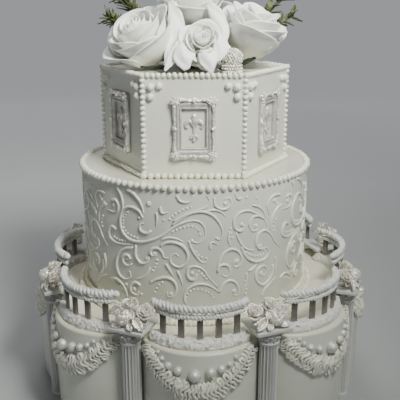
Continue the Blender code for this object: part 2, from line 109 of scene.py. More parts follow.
class Skin:
    """The points and faces of one piece, with a tone on each point for its colouring. On the lustre and
    plaster finishes a low tone paints shade.
    """

    def __init__(self):
        self.points, self.faces, self.tones = [], [], []

    def add(self, points, faces, tone=0.5):
        start = len(self.points)
        self.points.extend(points)
        self.faces.extend(tuple(start + i for i in face) for face in faces)
        self.tones.extend(tone if isinstance(tone, list) else [tone] * len(points))

    def add_skin(self, other, matrix=None):
        points = other.points if matrix is None else [matrix @ p for p in other.points]
        self.add(points, other.faces, list(other.tones))

    def placed(self, matrix):
        """A copy of this skin, moved to its place."""
        moved = Skin()
        moved.add_skin(self, matrix)
        return moved

    def settle(self, floor):
        """Presses whatever is below a level flat onto it."""
        for i, point in enumerate(self.points):
            if point.z < floor:
                self.points[i] = Vector((point.x, point.y, floor))

    def mesh(self, name, sharp=None):
        made = bpy.data.meshes.new(name)
        made.from_pydata(self.points, [], self.faces)
        made.attributes.new("tone", "FLOAT", "POINT").data.foreach_set("value", self.tones)
        bm = bmesh.new()
        bm.from_mesh(made)
        bmesh.ops.recalc_face_normals(bm, faces=bm.faces)
        bm.to_mesh(made)
        bm.free()
        made.shade_smooth()
        if sharp is not None:
            made.set_sharp_from_angle(angle=math.radians(sharp))
        return made

    def piece(self, name, material, slot, nodes, sharp=None):
        """The finished piece, riding on the cake in place of the solids it stands for."""
        mesh = self.mesh(name, sharp)
        mesh.materials.append(material)
        made = bpy.data.objects.new(name, mesh)
        bpy.context.scene.collection.objects.link(made)
        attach(made, "root")
        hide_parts(*nodes)


def circle(radius, height, count, shift=0.0):
    """A level ring of points, about the cake's middle or with the upper tiers' shift."""
    return [heading(math.tau * k / count) * radius + Vector((shift, 0.0, height)) for k in range(count)]


def grid_faces(rows, columns, closed_rows=False, closed_columns=False):
    faces = []
    for r in range(rows if closed_rows else rows - 1):
        for c in range(columns if closed_columns else columns - 1):
            r2, c2 = (r + 1) % rows, (c + 1) % columns
            faces.append((r * columns + c, r * columns + c2, r2 * columns + c2, r2 * columns + c))
    return faces


def add_loft(skin, rings, closed=False, tone=0.5):
    """A skin over rings of points, capped at both ends unless the run is closed."""
    columns = len(rings[0])
    points = [p for ring in rings for p in ring]
    faces = grid_faces(len(rings), columns, closed, True)
    if not closed:
        last = len(points) - columns
        faces.append(tuple(reversed(range(columns))))
        faces.append(tuple(range(last, last + columns)))
    skin.add(points, faces, tone)


def add_sheet(skin, rows, thick, tones=None):
    """A thin solid over a grid of points: a petal, a leaf or a ribbon."""
    count, width = len(rows), len(rows[0])
    front, back, shades = [], [], []
    for r in range(count):
        for c in range(width):
            across = rows[r][min(c + 1, width - 1)] - rows[r][max(c - 1, 0)]
            along = rows[min(r + 1, count - 1)][c] - rows[max(r - 1, 0)][c]
            normal = across.cross(along)
            normal = normal.normalized() if normal.length > 1e-12 else UP
            front.append(rows[r][c] + normal * thick / 2)
            back.append(rows[r][c] - normal * thick / 2)
            shades.append(tones[r][c] if tones else 0.5)
    total = count * width
    faces = grid_faces(count, width)
    faces += [tuple(total + i for i in reversed(face)) for face in grid_faces(count, width)]
    rim = [c for c in range(width)]
    rim += [r * width + width - 1 for r in range(1, count)]
    rim += [(count - 1) * width + c for c in range(width - 2, -1, -1)]
    rim += [r * width for r in range(count - 2, 0, -1)]
    for a, b in zip(rim, rim[1:] + rim[:1]):
        faces.append((b, a, total + a, total + b))
    skin.add(front + back, faces, shades + shades)


def spread_sizes(sizes, count):
    """Sizes in millimetres spread evenly over a path of count steps, in metres."""
    radii = []
    for i in range(count + 1):
        place = i / count * (len(sizes) - 1)
        low = min(int(place), len(sizes) - 2)
        radii.append((sizes[low] + (sizes[low + 1] - sizes[low]) * (place - low)) / 1000)
    return radii


def smooth_path(knots, steps):
    """A curve through knots, with steps points from each knot to the next."""
    knots = [Vector(k) for k in knots]
    ends = [knots[0] * 2 - knots[1]] + knots + [knots[-1] * 2 - knots[-2]]
    path = []
    for i in range(1, len(ends) - 2):
        a, b, c, d = ends[i - 1 : i + 3]
        for step in range(steps):
            t = step / steps
            path.append(0.5 * (2 * b + (c - a) * t + (2 * a - 5 * b + 4 * c - d) * t * t
                               + (3 * b - a - 3 * c + d) * t**3))
    path.append(knots[-1])
    return path


def add_tube(skin, path, radius, sides=6, closed=False, normals=None, flat=1.0, tone=0.5):
    """A tube along a path. radius may be a list. normals point away from the wall that the tube
    lies on, and flat squashes it towards that wall."""
    count = len(path)
    rings = []
    side = None
    for i, point in enumerate(path):
        ahead = path[(i + 1) % count] if closed else path[min(i + 1, count - 1)]
        behind = path[i - 1] if closed or i else path[0]
        tangent = (ahead - behind).normalized()
        if normals:
            side = tangent.cross(normals[i])
        elif side is None:
            side = tangent.orthogonal()
        else:
            side = side - tangent * side.dot(tangent)
        side = side.normalized()
        out = side.cross(tangent)
        size = radius[i] if isinstance(radius, list) else radius
        turns = [math.tau * k / sides for k in range(sides)]
        rings.append([point + side * size * math.cos(t) + out * size * flat * math.sin(t) for t in turns])
    add_loft(skin, rings, closed, tone)


def add_ball(skin, centre, size, rows=7, columns=10, turn=None, tone=0.5):
    """A ball or egg with closed poles. size is a radius or three half axes."""
    axes = size if isinstance(size, (tuple, list)) else (size, size, size)

    def place(x, y, z):
        spot = Vector((x * axes[0], y * axes[1], z * axes[2]))
        return centre + (turn @ spot if turn is not None else spot)

    points = [place(0.0, 0.0, -1.0)]
    for row in range(1, rows):
        tilt = math.pi * row / rows
        for column in range(columns):
            spin = math.tau * column / columns
            points.append(place(math.sin(tilt) * math.cos(spin), math.sin(tilt) * math.sin(spin),
                                -math.cos(tilt)))
    points.append(place(0.0, 0.0, 1.0))
    last = len(points) - 1
    base = 1 + (rows - 2) * columns
    faces = []
    for column in range(columns):
        after = (column + 1) % columns
        faces += [(0, 1 + after, 1 + column), (last, base + column, base + after)]
        for row in range(rows - 2):
            low = 1 + row * columns
            high = low + columns
            faces.append((low + column, low + after, high + after, high + column))
    skin.add(points, faces, tone)


def uneven(skin, amount, scale, seed=0.0):
    """Moves every point a little along a smooth random field, so nothing is machine-made."""
    offset = Vector((seed, seed * 1.7, -seed))
    for i, point in enumerate(skin.points):
        skin.points[i] = point + noise.noise_vector(point * scale + offset) * amount


# Geometry Nodes: one item laid again and again along a path


def add_node(tree, kind, values=(), **settings):
    """A node with its settings, and with values in its sockets by name or number."""
    node = tree.nodes.new(kind)
    for key, value in settings.items():
        setattr(node, key, value)
    for key, value in dict(values).items():
        node.inputs[key].default_value = value
    return node


def along_path_tree():
    """Lays an item along a path: its X follows the path and its Z follows the path's outward."""
    tree = bpy.data.node_groups.new("item_along_path", "GeometryNodeTree")
    for label, kind in (("Path", "Geometry"), ("Item", "Object"), ("Spacing", "Float"),
                        ("Size spread", "Float"), ("Turn spread", "Float"), ("Tilt", "Float"),
                        ("Seed", "Int"), ("Finish", "Material")):
        tree.interface.new_socket(label, in_out="INPUT", socket_type="NodeSocket" + kind)
    tree.interface.new_socket("Row", in_out="OUTPUT", socket_type="NodeSocketGeometry")
    made = {
        "entry": add_node(tree, "NodeGroupInput"),
        "leave": add_node(tree, "NodeGroupOutput"),
        "curve": add_node(tree, "GeometryNodeMeshToCurve"),
        "even": add_node(tree, "GeometryNodeResampleCurve", mode="LENGTH"),
        "tangent": add_node(tree, "GeometryNodeInputTangent"),
        "outward": add_node(tree, "GeometryNodeInputNamedAttribute", {"Name": "outward"},
                            data_type="FLOAT_VECTOR"),
        "share": add_node(tree, "GeometryNodeInputNamedAttribute", {"Name": "share"}, data_type="FLOAT"),
        "follow": add_node(tree, "FunctionNodeAlignRotationToVector", axis="X"),
        "stand": add_node(tree, "FunctionNodeAlignRotationToVector", axis="Z", pivot_axis="X"),
        "sway": add_node(tree, "FunctionNodeRandomValue", data_type="FLOAT"),
        "lean": add_node(tree, "ShaderNodeMath", operation="ADD"),
        "low": add_node(tree, "ShaderNodeMath", {1: -1.0}, operation="MULTIPLY"),
        "turn": add_node(tree, "ShaderNodeCombineXYZ"),
        "spin": add_node(tree, "FunctionNodeEulerToRotation"),
        "twist": add_node(tree, "FunctionNodeRotateRotation", rotation_space="LOCAL"),
        "size": add_node(tree, "FunctionNodeRandomValue", data_type="FLOAT"),
        "smallest": add_node(tree, "ShaderNodeMath", {0: 1.0}, operation="SUBTRACT"),
        "largest": add_node(tree, "ShaderNodeMath", {0: 1.0}, operation="ADD"),
        "scale": add_node(tree, "ShaderNodeMath", operation="MULTIPLY"),
        "item": add_node(tree, "GeometryNodeObjectInfo", {"As Instance": True},
                         transform_space="ORIGINAL"),
        "lay": add_node(tree, "GeometryNodeInstanceOnPoints"),
        "real": add_node(tree, "GeometryNodeRealizeInstances"),
        "paint": add_node(tree, "GeometryNodeSetMaterial"),
    }
    for start, outlet, end, inlet in (
        ("entry", "Path", "curve", "Mesh"), ("curve", "Curve", "even", "Curve"),
        ("entry", "Spacing", "even", "Length"), ("tangent", "Tangent", "follow", "Vector"),
        ("follow", "Rotation", "stand", "Rotation"), ("outward", "Attribute", "stand", "Vector"),
        ("entry", "Turn spread", "low", 0), ("low", 0, "sway", 2), ("entry", "Turn spread", "sway", 3),
        ("entry", "Seed", "sway", "Seed"), ("sway", 1, "lean", 0), ("entry", "Tilt", "lean", 1),
        ("lean", 0, "turn", "Z"), ("turn", 0, "spin", "Euler"), ("stand", "Rotation", "twist", "Rotation"),
        ("spin", "Rotation", "twist", "Rotate By"), ("entry", "Size spread", "smallest", 1),
        ("entry", "Size spread", "largest", 1), ("smallest", 0, "size", 2), ("largest", 0, "size", 3),
        ("entry", "Seed", "size", "Seed"), ("size", 1, "scale", 0), ("share", "Attribute", "scale", 1),
        ("entry", "Item", "item", "Object"), ("even", "Curve", "lay", "Points"),
        ("item", "Geometry", "lay", "Instance"), ("twist", "Rotation", "lay", "Rotation"),
        ("scale", 0, "lay", "Scale"), ("lay", "Instances", "real", "Geometry"),
        ("real", "Geometry", "paint", "Geometry"), ("entry", "Finish", "paint", "Material"),
        ("paint", "Geometry", "leave", "Row"),
    ):
        tree.links.new(made[start].outputs[outlet], made[end].inputs[inlet])
    return tree


def lay_along(skin, tone, tree, path, outwards, item, spacing, finish, closed=False, sizes=None,
              size_spread=0.0, turn_spread=0.0, tilt=0.0, seed=1):
    """Lays an item along a path and adds the plain mesh of the whole row to a skin."""
    count = len(path)
    mesh = bpy.data.meshes.new("path")
    ends = [(count - 1, 0)] if closed else []
    mesh.from_pydata(path, [(i, i + 1) for i in range(count - 1)] + ends, [])
    outward = mesh.attributes.new("outward", "FLOAT_VECTOR", "POINT")
    outward.data.foreach_set("vector", [value for o in outwards for value in o])
    share = mesh.attributes.new("share", "FLOAT", "POINT")
    share.data.foreach_set("value", sizes or [1.0] * count)
    holder, pattern = bpy.data.objects.new("path", mesh), bpy.data.objects.new("item", item)
    for thing in (holder, pattern):
        bpy.context.scene.collection.objects.link(thing)
    modifier = holder.modifiers.new("row", "NODES")
    modifier.node_group = tree
    values = {"Item": pattern, "Spacing": spacing, "Size spread": size_spread,
              "Turn spread": turn_spread, "Tilt": tilt, "Seed": seed, "Finish": finish}
    for socket in tree.interface.items_tree:
        if socket.item_type == "SOCKET" and socket.in_out == "INPUT" and socket.name in values:
            modifier[socket.identifier] = values[socket.name]
    bpy.context.view_layer.update()
    graph = bpy.context.evaluated_depsgraph_get()
    laid = bpy.data.meshes.new_from_object(holder.evaluated_get(graph))
    holder.modifiers.clear()
    bpy.data.objects.remove(holder)
    bpy.data.objects.remove(pattern)
    skin.add([v.co.copy() for v in laid.vertices], [tuple(face.vertices) for face in laid.polygons], tone)
    bpy.data.meshes.remove(laid)


def bead_item(radius, rows, columns, stretch):
    skin = Skin()
    add_ball(skin, Vector((0.0, 0.0, 0.0)), [radius * s for s in stretch], rows, columns)
    return skin.mesh("bead")


# Finishes


def finish_base(name, roughness, metallic=0.0, coat=0.0, coat_roughness=0.3, sheen=0.0, soft=0.0):
    material = bpy.data.materials.new(name)
    material.use_nodes = True
    shader = material.node_tree.nodes["Principled BSDF"]
    for label, value in (("Roughness", roughness), ("Metallic", metallic), ("Coat Weight", coat),
                         ("Coat Roughness", coat_roughness), ("Sheen Weight", sheen),
                         ("Subsurface Weight", soft), ("Subsurface Scale", 0.004)):
        shader.inputs[label].default_value = value
    return material, shader


def add_noise(material, scale, detail=4.0):
    tree = material.node_tree
    grain = add_node(tree, "ShaderNodeTexNoise", {"Scale": scale, "Detail": detail, "Roughness": 0.55})
    tree.links.new(add_node(tree, "ShaderNodeTexCoord").outputs["Object"], grain.inputs["Vector"])
    return grain.outputs["Fac"]


def add_colours(material, factor, stops):
    """A ramp from one colour to the next along a factor."""
    tree = material.node_tree
    ramp = tree.nodes.new("ShaderNodeValToRGB")
    for element, (position, colour) in zip(ramp.color_ramp.elements, (stops[0], stops[-1])):
        element.position = position
        element.color = (*colour, 1.0)
    for position, colour in stops[1:-1]:
        ramp.color_ramp.elements.new(position).color = (*colour, 1.0)
    tree.links.new(factor, ramp.inputs["Fac"])
    return ramp.outputs["Color"]


def mix_colours(material, factor, low, high):
    """From low to high along a factor. Each of the two is a colour or a socket."""
    tree = material.node_tree
    blend = add_node(tree, "ShaderNodeMix", data_type="RGBA")
    tree.links.new(factor, blend.inputs[0])
    for socket, value in ((blend.inputs[6], low), (blend.inputs[7], high)):
        if isinstance(value, tuple):
            socket.default_value = (*value, 1.0)
        else:
            tree.links.new(value, socket)
    return blend.outputs[2]


def tone_of(material):
    return add_node(material.node_tree, "ShaderNodeAttribute", attribute_name="tone").outputs["Fac"]


def dress(material, shader, colour, gloss, bumps):
    """Joins up a finish: its colour, its uneven gloss as scale, low and high, and its bumps, each a
    scale, a strength and a depth."""
    tree = material.node_tree
    tree.links.new(colour, shader.inputs["Base Color"])
    scale, low, high = gloss
    spread = add_node(tree, "ShaderNodeMapRange",
                      {"From Min": 0.3, "From Max": 0.7, "To Min": low, "To Max": high})
    tree.links.new(add_noise(material, scale), spread.inputs["Value"])
    tree.links.new(spread.outputs["Result"], shader.inputs["Roughness"])
    before = None
    for scale, strength, depth in bumps:
        bump = add_node(tree, "ShaderNodeBump", {"Strength": strength, "Distance": depth})
        tree.links.new(add_noise(material, scale), bump.inputs["Height"])
        if before is not None:
            tree.links.new(before, bump.inputs["Normal"])
        before = bump.outputs["Normal"]
    tree.links.new(before, shader.inputs["Normal"])
    return material


def icing_finish(name, pale, deep, cream, gloss, bumps=((260.0, 0.12, 0.0006),)):
    """Icing: mottled between pale and deep, and warmer where the tone says cream."""
    material, shader = finish_base(name, gloss, coat=0.3, coat_roughness=0.24, soft=0.08)
    shader.inputs["Subsurface Radius"].default_value = (1.0, 0.8, 0.5)
    base = add_colours(material, add_noise(material, 14.0), ((0.35, deep), (0.68, pale)))
    colour = mix_colours(material, tone_of(material), base, cream)
    return dress(material, shader, colour, (60.0, gloss - 0.06, gloss + 0.08), bumps)


def lustre_finish(name, pale, deep, crease_shade, metallic, glitter=0.0):
    """Moulded icing under a dusting of lustre. Where the tone is low the crease colour paints shade into its
    creases and hollows, and white specks paint glints where it glitters."""
    material, shader = finish_base(name, 0.34, metallic, coat=0.25, coat_roughness=0.25)
    colour = add_colours(material, add_noise(material, 220.0, 6.0), ((0.34, deep), (0.62, pale)))
    # Painted shade: a low tone blends in the dark crease colour
    colour = mix_colours(material, tone_of(material), crease_shade, colour)
    gloss = (300.0, 0.26, 0.44)
    if glitter:
        tree = material.node_tree
        cells = add_node(tree, "ShaderNodeTexVoronoi", {"Scale": 1300.0})
        tree.links.new(add_node(tree, "ShaderNodeTexCoord").outputs["Object"], cells.inputs["Vector"])
        black, white = (0.0, 0.0, 0.0), (1.0, 1.0, 1.0)
        # Painted glints: white specks in the colour where it glitters
        painted_glints = add_colours(material, cells.outputs["Color"],
                             ((0.0, black), (0.80 - glitter, black), (0.86 - glitter, white)))
        colour = mix_colours(material, painted_glints, colour, (1.0, 0.98, 0.94))
        gloss = (900.0, 0.14, 0.5)
    return dress(material, shader, colour, gloss, ((500.0, 0.6, 0.0007), (1600.0, 0.6, 0.0004)))


def plaster_finish():
    """Smooth white plaster, painted darker where the tone is low: painted shade in the flutes and on the
    capital.
    """
    material, shader = finish_base("pillar_white", 0.42)
    pale = add_colours(material, add_noise(material, 30.0),
                       ((0.3, (0.64, 0.645, 0.625)), (0.7, (0.73, 0.735, 0.715))))
    # The dark colour is painted shade
    colour = mix_colours(material, tone_of(material), (0.30, 0.295, 0.28), pale)
    return dress(material, shader, colour, (45.0, 0.34, 0.5), ((420.0, 0.10, 0.0003),))


def silk_finish():
    """White silk petals: cream deep in the flower, white at the lip, with a fine weave."""
    material, shader = finish_base("white_silk", 0.60, sheen=0.25, soft=0.12)
    shader.inputs["Sheen Roughness"].default_value = 0.4
    shader.inputs["Subsurface Radius"].default_value = (1.0, 0.95, 0.75)
    tree = material.node_tree
    shift = add_node(tree, "ShaderNodeMath", {1: 0.35, 2: -0.17}, operation="MULTIPLY_ADD")
    total = add_node(tree, "ShaderNodeMath", operation="ADD")
    tree.links.new(add_noise(material, 55.0), shift.inputs[0])
    tree.links.new(tone_of(material), total.inputs[0])
    tree.links.new(shift.outputs[0], total.inputs[1])
    colour = add_colours(material, total.outputs[0], (
        (0.0, (0.70, 0.69, 0.51)), (0.35, (0.90, 0.895, 0.80)), (0.75, (0.96, 0.965, 0.945))))
    return dress(material, shader, colour, (70.0, 0.52, 0.7),
                 ((1400.0, 0.18, 0.0002), (120.0, 0.15, 0.0008)))


def leaf_finish(name, deep, pale, gloss):
    material, shader = finish_base(name, gloss)
    colour = add_colours(material, add_noise(material, 260.0, 6.0), ((0.3, deep), (0.7, pale)))
    return dress(material, shader, colour, (180.0, gloss - 0.1, gloss + 0.1), ((350.0, 0.3, 0.0006),))


# Bottom tier


def lobe_half_angle():
    notch = math.pi / LOBES
    level = LOBE_CENTRE * math.cos(notch)
    reach = level + math.sqrt(level**2 - LOBE_CENTRE**2 + LOBE_RADIUS**2)
    return math.atan2(reach * math.sin(notch), reach * math.cos(notch) - LOBE_CENTRE)


def wall_point(lobe, along, height, out=0.0):
    """A point on the wall of a lobe, along its arc from the middle, stood off by out."""
    turn = lobe + along / LOBE_RADIUS
    point = heading(lobe) * LOBE_CENTRE + heading(turn) * (LOBE_RADIUS + out)
    point.z = height
    return point


def petal_ring(inset, height, steps=26):
    half = lobe_half_angle()
    ring = []
    for index in range(LOBES):
        for step in range(steps):
            along = half * (2 * step / steps - 1) * LOBE_RADIUS
            ring.append(wall_point(lobe_angle(index), along, height, -inset))
    return ring


def bottom_wall(material):
    levels = [(0.0, 0.0, 0.0), (0.0, 0.05, 0.0), (0.0, BOTTOM_TOP - EDGE_ROUNDING, 0.05)]
    for step in range(1, 6):
        angle = math.pi / 2 * step / 5
        levels.append((EDGE_ROUNDING * (1 - math.cos(angle)),
                       BOTTOM_TOP - EDGE_ROUNDING * (1 - math.sin(angle)), 0.15 + 0.5 * step / 5))
    levels.append((0.012, BOTTOM_TOP, 0.75))
    points = [p for inset, height, _ in levels for p in petal_ring(inset, height)]
    columns = len(points) // len(levels)
    shades = [tone for _, _, tone in levels for _ in range(columns)]
    faces = grid_faces(len(levels), columns, False, True)
    faces.append(tuple(reversed(range(columns))))
    last = len(points) - columns
    faces += [(last + i, last + (i + 1) % columns, len(points)) for i in range(columns)]
    skin = Skin()
    skin.add(points + [Vector((0.0, 0.0, BOTTOM_TOP))], faces, shades + [0.8])
    skin.piece("bottom_tier_wall", material, "ivory_icing", ["bottom_tier"], 30)


def swag_height(along):
    return SWAG_LOW + SWAG_RISE * abs(along / SWAG_HALF) ** 1.9


def swag_half_width(share):
    return 0.0115 - 0.0035 * abs(share) ** 2


def swag_spot(along, across):
    """Where a spot across the swag lies: along the lobe's arc, and its height."""
    slope = math.atan2(swag_height(along + 0.001) - swag_height(along - 0.001), 0.002)
    return along - across * math.sin(slope) + SWAG_SHIFT, swag_height(along) + across * math.cos(slope)


def strand_item(knots, sizes):
    """One piped strand of a ruffle: X along the swag, Y up across it, Z off the wall, in millimetres."""
    skin = Skin()
    path = smooth_path([Vector(knot) / 1000 for knot in knots], 2)
    add_tube(skin, path, spread_sizes(sizes, len(path) - 1), 5)
    return skin.mesh("strand")


def swag_line(lobe):
    """The line of a swag over a lobe, with its outward directions and how large it is there."""
    path, outs, sizes = [], [], []
    for step in range(61):
        share = 2 * step / 60 - 1
        along, height = swag_spot(share * SWAG_HALF, 0.0)
        path.append(wall_point(lobe, along, height))
        outs.append(heading(lobe + along / LOBE_RADIUS))
        sizes.append(1.0 - 0.22 * abs(share) ** 2)
    return path, outs, sizes


def swags(tree, material):
    """The piped ruffles: waved strands side by side across a swag, and loops along both edges."""
    waved = strand_item(
        ((-0.4, 9.8, -0.3), (1.5, 8.6, 2.6), (1.0, 5.4, 4.4), (-1.9, 2.6, 4.9), (-1.4, -1.2, 4.6),
         (1.9, -3.6, 4.0), (1.5, -7.4, 2.8), (-1.6, -9.6, 1.6), (-1.0, -10.6, 0.4)),
        (1.2, 1.8, 2.0, 1.95, 1.85, 1.75, 1.6, 1.3, 0.7))
    loop = strand_item(
        ((-1.6, -3.0, 4.6), (-2.3, -7.4, 3.8), (-0.3, -11.0, 2.4), (2.0, -8.8, 3.0), (1.8, -4.6, 4.8)),
        (1.0, 1.55, 1.5, 1.45, 0.9))
    curl = strand_item(
        ((-1.8, 5.2, 5.0), (-1.6, 9.0, 3.8), (0.6, 10.2, 2.4), (2.1, 7.6, 3.8), (0.6, 5.2, 5.6)),
        (0.9, 1.7, 1.8, 1.6, 0.9))
    skin = Skin()
    for index in range(LOBES):
        lobe = lobe_angle(index)
        rows = []
        for shift, rise in ((-0.86, -0.001), (-0.6, 0.0020), (0.6, 0.0022), (0.86, -0.001)):
            path = []
            for step in range(25):
                share = 2 * step / 24 - 1
                along, height = swag_spot(share * SWAG_HALF, shift * swag_half_width(share))
                path.append(wall_point(lobe, along, min(height, BOTTOM_TOP - 0.003), rise))
            rows.append(path)
        add_loft(skin, [list(ring) for ring in zip(*rows)], tone=0.9)
        path, outs, sizes = swag_line(lobe)
        for item, spacing, spread, turn_spread, tilt, tone in (
            (waved, 0.0040, 0.12, 0.25, -0.20, 0.30), (loop, 0.0062, 0.14, 0.45, 0.10, 0.22),
            (curl, 0.0072, 0.16, 0.50, -0.10, 0.40),
        ):
            lay_along(skin, tone, tree, path, outs, item, spacing, material, sizes=sizes,
                      size_spread=spread, turn_spread=turn_spread, tilt=tilt, seed=11 + index)
    uneven(skin, 0.0005, 160.0)
    ceiling = BOTTOM_TOP - 0.0002
    for i, point in enumerate(skin.points):
        if point.z > ceiling:
            skin.points[i] = Vector((point.x, point.y, ceiling + 0.2 * (point.z - BOTTOM_TOP)))
    skin.piece("ruffled_swags", material, "ivory_icing", ["bottom_tier"])


# The nine pearls of a lobe: along the arc, height and diameter, the largest in the middle
PEARLS = (
    (-0.0435, 0.1158, 0.0042), (-0.0384, 0.1102, 0.0056), (-0.0312, 0.1050, 0.0076),
    (-0.0210, 0.1016, 0.0088), (-0.0048, 0.0985, 0.0124), (0.0102, 0.1012, 0.0096),
    (0.0206, 0.1034, 0.0082), (0.0289, 0.1070, 0.0056), (0.0360, 0.1125, 0.0045),
)


def swag_pearls(material):
    skin = Skin()
    for index in range(LOBES):
        for along, height, diameter in PEARLS:
            centre = wall_point(lobe_angle(index), along, height, 0.20 * diameter - 0.0004)
            add_ball(skin, centre, diameter / 2, 10, 16, tone=1.0)
    skin.piece("swag_pearls", material, "ivory_icing", ["bottom_tier"])


# Middle tier with its scrollwork, in millimetres along the wall from the front and up from the floor.
# A stroke has its widest half width, then along and up of each point that it passes through.


SCROLLS = (
    (1.2, -53, 231, -58, 238, -68, 240.5, -77, 235, -81, 223, -78, 211, -69, 205, -56, 204.5, -42, 209, -30,
     216, -20, 224, -8, 230, 3, 231, 10, 225, 11, 215, 5, 208, -2, 209),
    (1.2, -20, 230, -10, 236, 0, 240, 10, 240.5, 19, 236, 26, 227, 29, 217, 26, 210.5, 21, 213),
    (0.9, -22, 226, -8, 236, 4, 242, 13, 246, 15.5, 252, 12, 257.5),
    (1.0, -17, 257, -14, 252, -8, 250, -3, 252, 0, 257),
    (0.9, 13, 241, 20, 242, 27, 239.5, 32, 234),
    (1.0, 17, 201, 16, 205, 19, 208, 24, 205),
    (1.2, 24, 176, 26, 188, 32, 196.5, 39, 199, 46, 195.5, 50, 187, 47, 179.5, 41.5, 180, 41, 186),
    (1.1, 24, 175, 26, 181.5, 31, 183, 36, 180, 37, 173, 33, 169.5, 29, 172),
    (1.2, 3, 174, 1, 169, -4, 168.5, -7, 174, -5, 181, 2, 182.5, 9, 179, 15, 170, 24, 159),
    (1.2, -9, 142, -10, 150, -5, 159, 4, 163, 13, 162, 20, 158, 25, 153),
    (1.1, 26, 153, 30, 161, 36, 165, 43, 162, 47, 154, 45, 147, 41, 149),
    (1.2, 49, 225, 52, 221, 48, 217.5, 42, 221, 41, 230, 47, 237, 56, 238, 65, 234, 73, 229, 79, 221, 81,
     212),
    (0.9, 61, 243, 69, 240, 74, 235, 77, 229),
    (1.1, 75, 226.5, 69, 230.5, 62, 230, 58, 223, 61, 216, 67, 215.5, 69, 220),
    (1.2, 75, 194, 70, 195, 66.5, 202, 69, 210.5, 77, 213.5, 85, 208, 91, 199, 100, 190),
    (1.0, 43, 216, 47, 207, 52, 199.5, 58, 195.5, 64, 194),
    (1.2, 49, 200, 54, 190, 61, 183.5, 70, 180.5, 79, 182, 83.5, 188, 80, 194, 76, 192),
    (1.0, 58, 172, 63, 174, 68, 178),
    (1.2, 90, 172, 90, 163, 85, 155.5, 77, 152.5, 70, 157, 67, 165, 70, 172, 77, 174, 81.5, 169, 79, 163, 74,
     164),
    (1.1, 75, 140, 80, 147, 87, 152, 96, 156),
    (1.1, 98, 248, 90, 249, 83, 246, 80, 239, 83, 229),
    (1.2, 100, 237, 92, 232, 86, 223, 85, 212),
    (1.1, 20, 255, 21, 247, 27, 242.5, 34, 243, 38, 248, 35, 253.5, 30, 252),
    (0.9, 42, 258, 44, 252, 49, 252, 51, 258),
    (1.1, -84, 258, -79, 251, -77, 241, -79, 231),
    (1.3, -71, 258, -64, 255.5, -57, 249, -53, 241, -52, 235),
    (1.1, -34, 244.5, -32, 238, -26, 239),
    (1.2, -44, 218, -49, 214.8, -56, 217, -56, 223, -52, 225),
    (1.1, -93, 243, -87, 244.5, -83, 239, -86, 231.5, -100, 231),
    (1.1, -88, 212, -93, 214.5, -98, 210, -98, 202, -90, 197.8, -78, 198, -66, 200),
    (1.1, -66, 196.5, -77, 193, -86, 184, -89, 172, -85, 162, -77, 159, -70, 163, -71, 169.5),
    (1.2, -69, 183, -73, 187, -79, 184.5, -79, 178, -73, 175, -68, 178),
    (1.2, -62, 200, -62.5, 189, -57, 181.5, -50, 183, -47, 188.5, -51, 188),
    (1.2, -42, 191, -45.5, 194, -43, 199, -37, 200, -32.5, 196, -31, 191, -26, 190.5),
    (1.2, -34, 203, -27, 207.3, -18, 207.5, -10, 203, -6, 194, -9, 185, -16, 181.5, -23, 185, -24, 192, -19,
     196, -15.5, 193),
    (0.9, -33, 210, -26, 212.5, -18, 212, -11, 209),
    (1.0, -29, 184, -25, 177.5, -22, 172),
    (1.0, -17, 177, -14, 170, -12, 162),
    (1.2, -46, 162, -37, 167, -28, 169, -20.5, 165, -18, 157, -21, 149, -27, 148, -28, 153),
    (1.2, -58, 156, -64, 158, -70, 153, -69, 146, -62, 144, -60, 149),
    (1.2, -100, 153, -91, 156, -82, 152.5, -77, 146, -75, 139),
    (1.0, -5, 210, -3, 203, 2, 194, 7, 187.5, 12, 186.5),
    (0.9, -38, 238, -37.5, 231, -38.5, 224),
    (1.0, 36, 219, 35, 209, 38, 202),
    (1.0, 93, 180, 95, 172, 94, 163),
    (1.0, 56, 170, 56, 162, 53, 153, 51, 146),
    (1.0, -46, 178, -50, 170, -56, 165, -62, 163),
)

# Rows of dots: along and up of each point that a row passes through
DOT_ROWS = (
    (-71, 234, -77, 226, -77, 216, -71, 210.5, -60, 208),
    (-21, 219, -13, 223, -4, 225.5, 4, 222, 6, 217),
    (-24, 232, -18, 238, -10, 243, -3, 245.5),
    (2, 198, 6, 193, 12, 191),
    (5, 177, 9, 172.5, 13, 168.5),
    (-8, 148, -5, 154, 2, 157, 10, 155.5, 17, 151.5, 20, 147),
    (55, 193, 61, 189, 68, 186.5, 76, 187),
    (37, 221, 37.5, 216, 39, 211),
    (93, 222, 90, 217, 91, 210),
    (-38, 187, -40, 181, -43, 175),
    (-33, 163, -38, 158, -41, 151),
    (-91, 203, -84, 201.5, -76, 202),
    (-92, 151, -86, 150, -82, 147),
    (54, 161, 56, 154, 55, 147),
    (88, 243, 92, 240, 96, 238),
)

# Drops: along, up and half width
DROPS = (
    (-46, 246, 3.0), (-57, 230, 1.8), (44, 185, 3.0), (42, 152, 2.6), (49, 224, 2.4), (66, 220, 2.4),
    (72, 197, 2.2), (74, 166, 2.4), (-50, 187, 1.8), (-41, 193.5, 2.4), (-24, 151, 2.4), (-66, 150, 2.4),
    (-57, 146, 1.8), (-73, 182, 2.0), (-2, 175, 2.2), (31, 248, 2.2), (-2, 210, 1.8), (23, 212, 1.8),
    (90, 243, 2.4), (-90, 238, 2.2), (54, 252, 1.4), (66, 250, 1.4), (-30, 231, 1.0), (-76, 153, 1.6),
)


def tier_point(radius, along, height, turn):
    """A point on a round wall, along it in metres from a panel's middle."""
    point = heading(turn + along / radius) * radius
    point.x += UPPER_SHIFT
    point.z = height
    return point


def drawn(numbers, steps):
    """A smooth curve through pairs of millimetres, along and up a wall."""
    return smooth_path([(u / 1000, z / 1000, 0.0) for u, z in zip(numbers[::2], numbers[1::2])], steps)


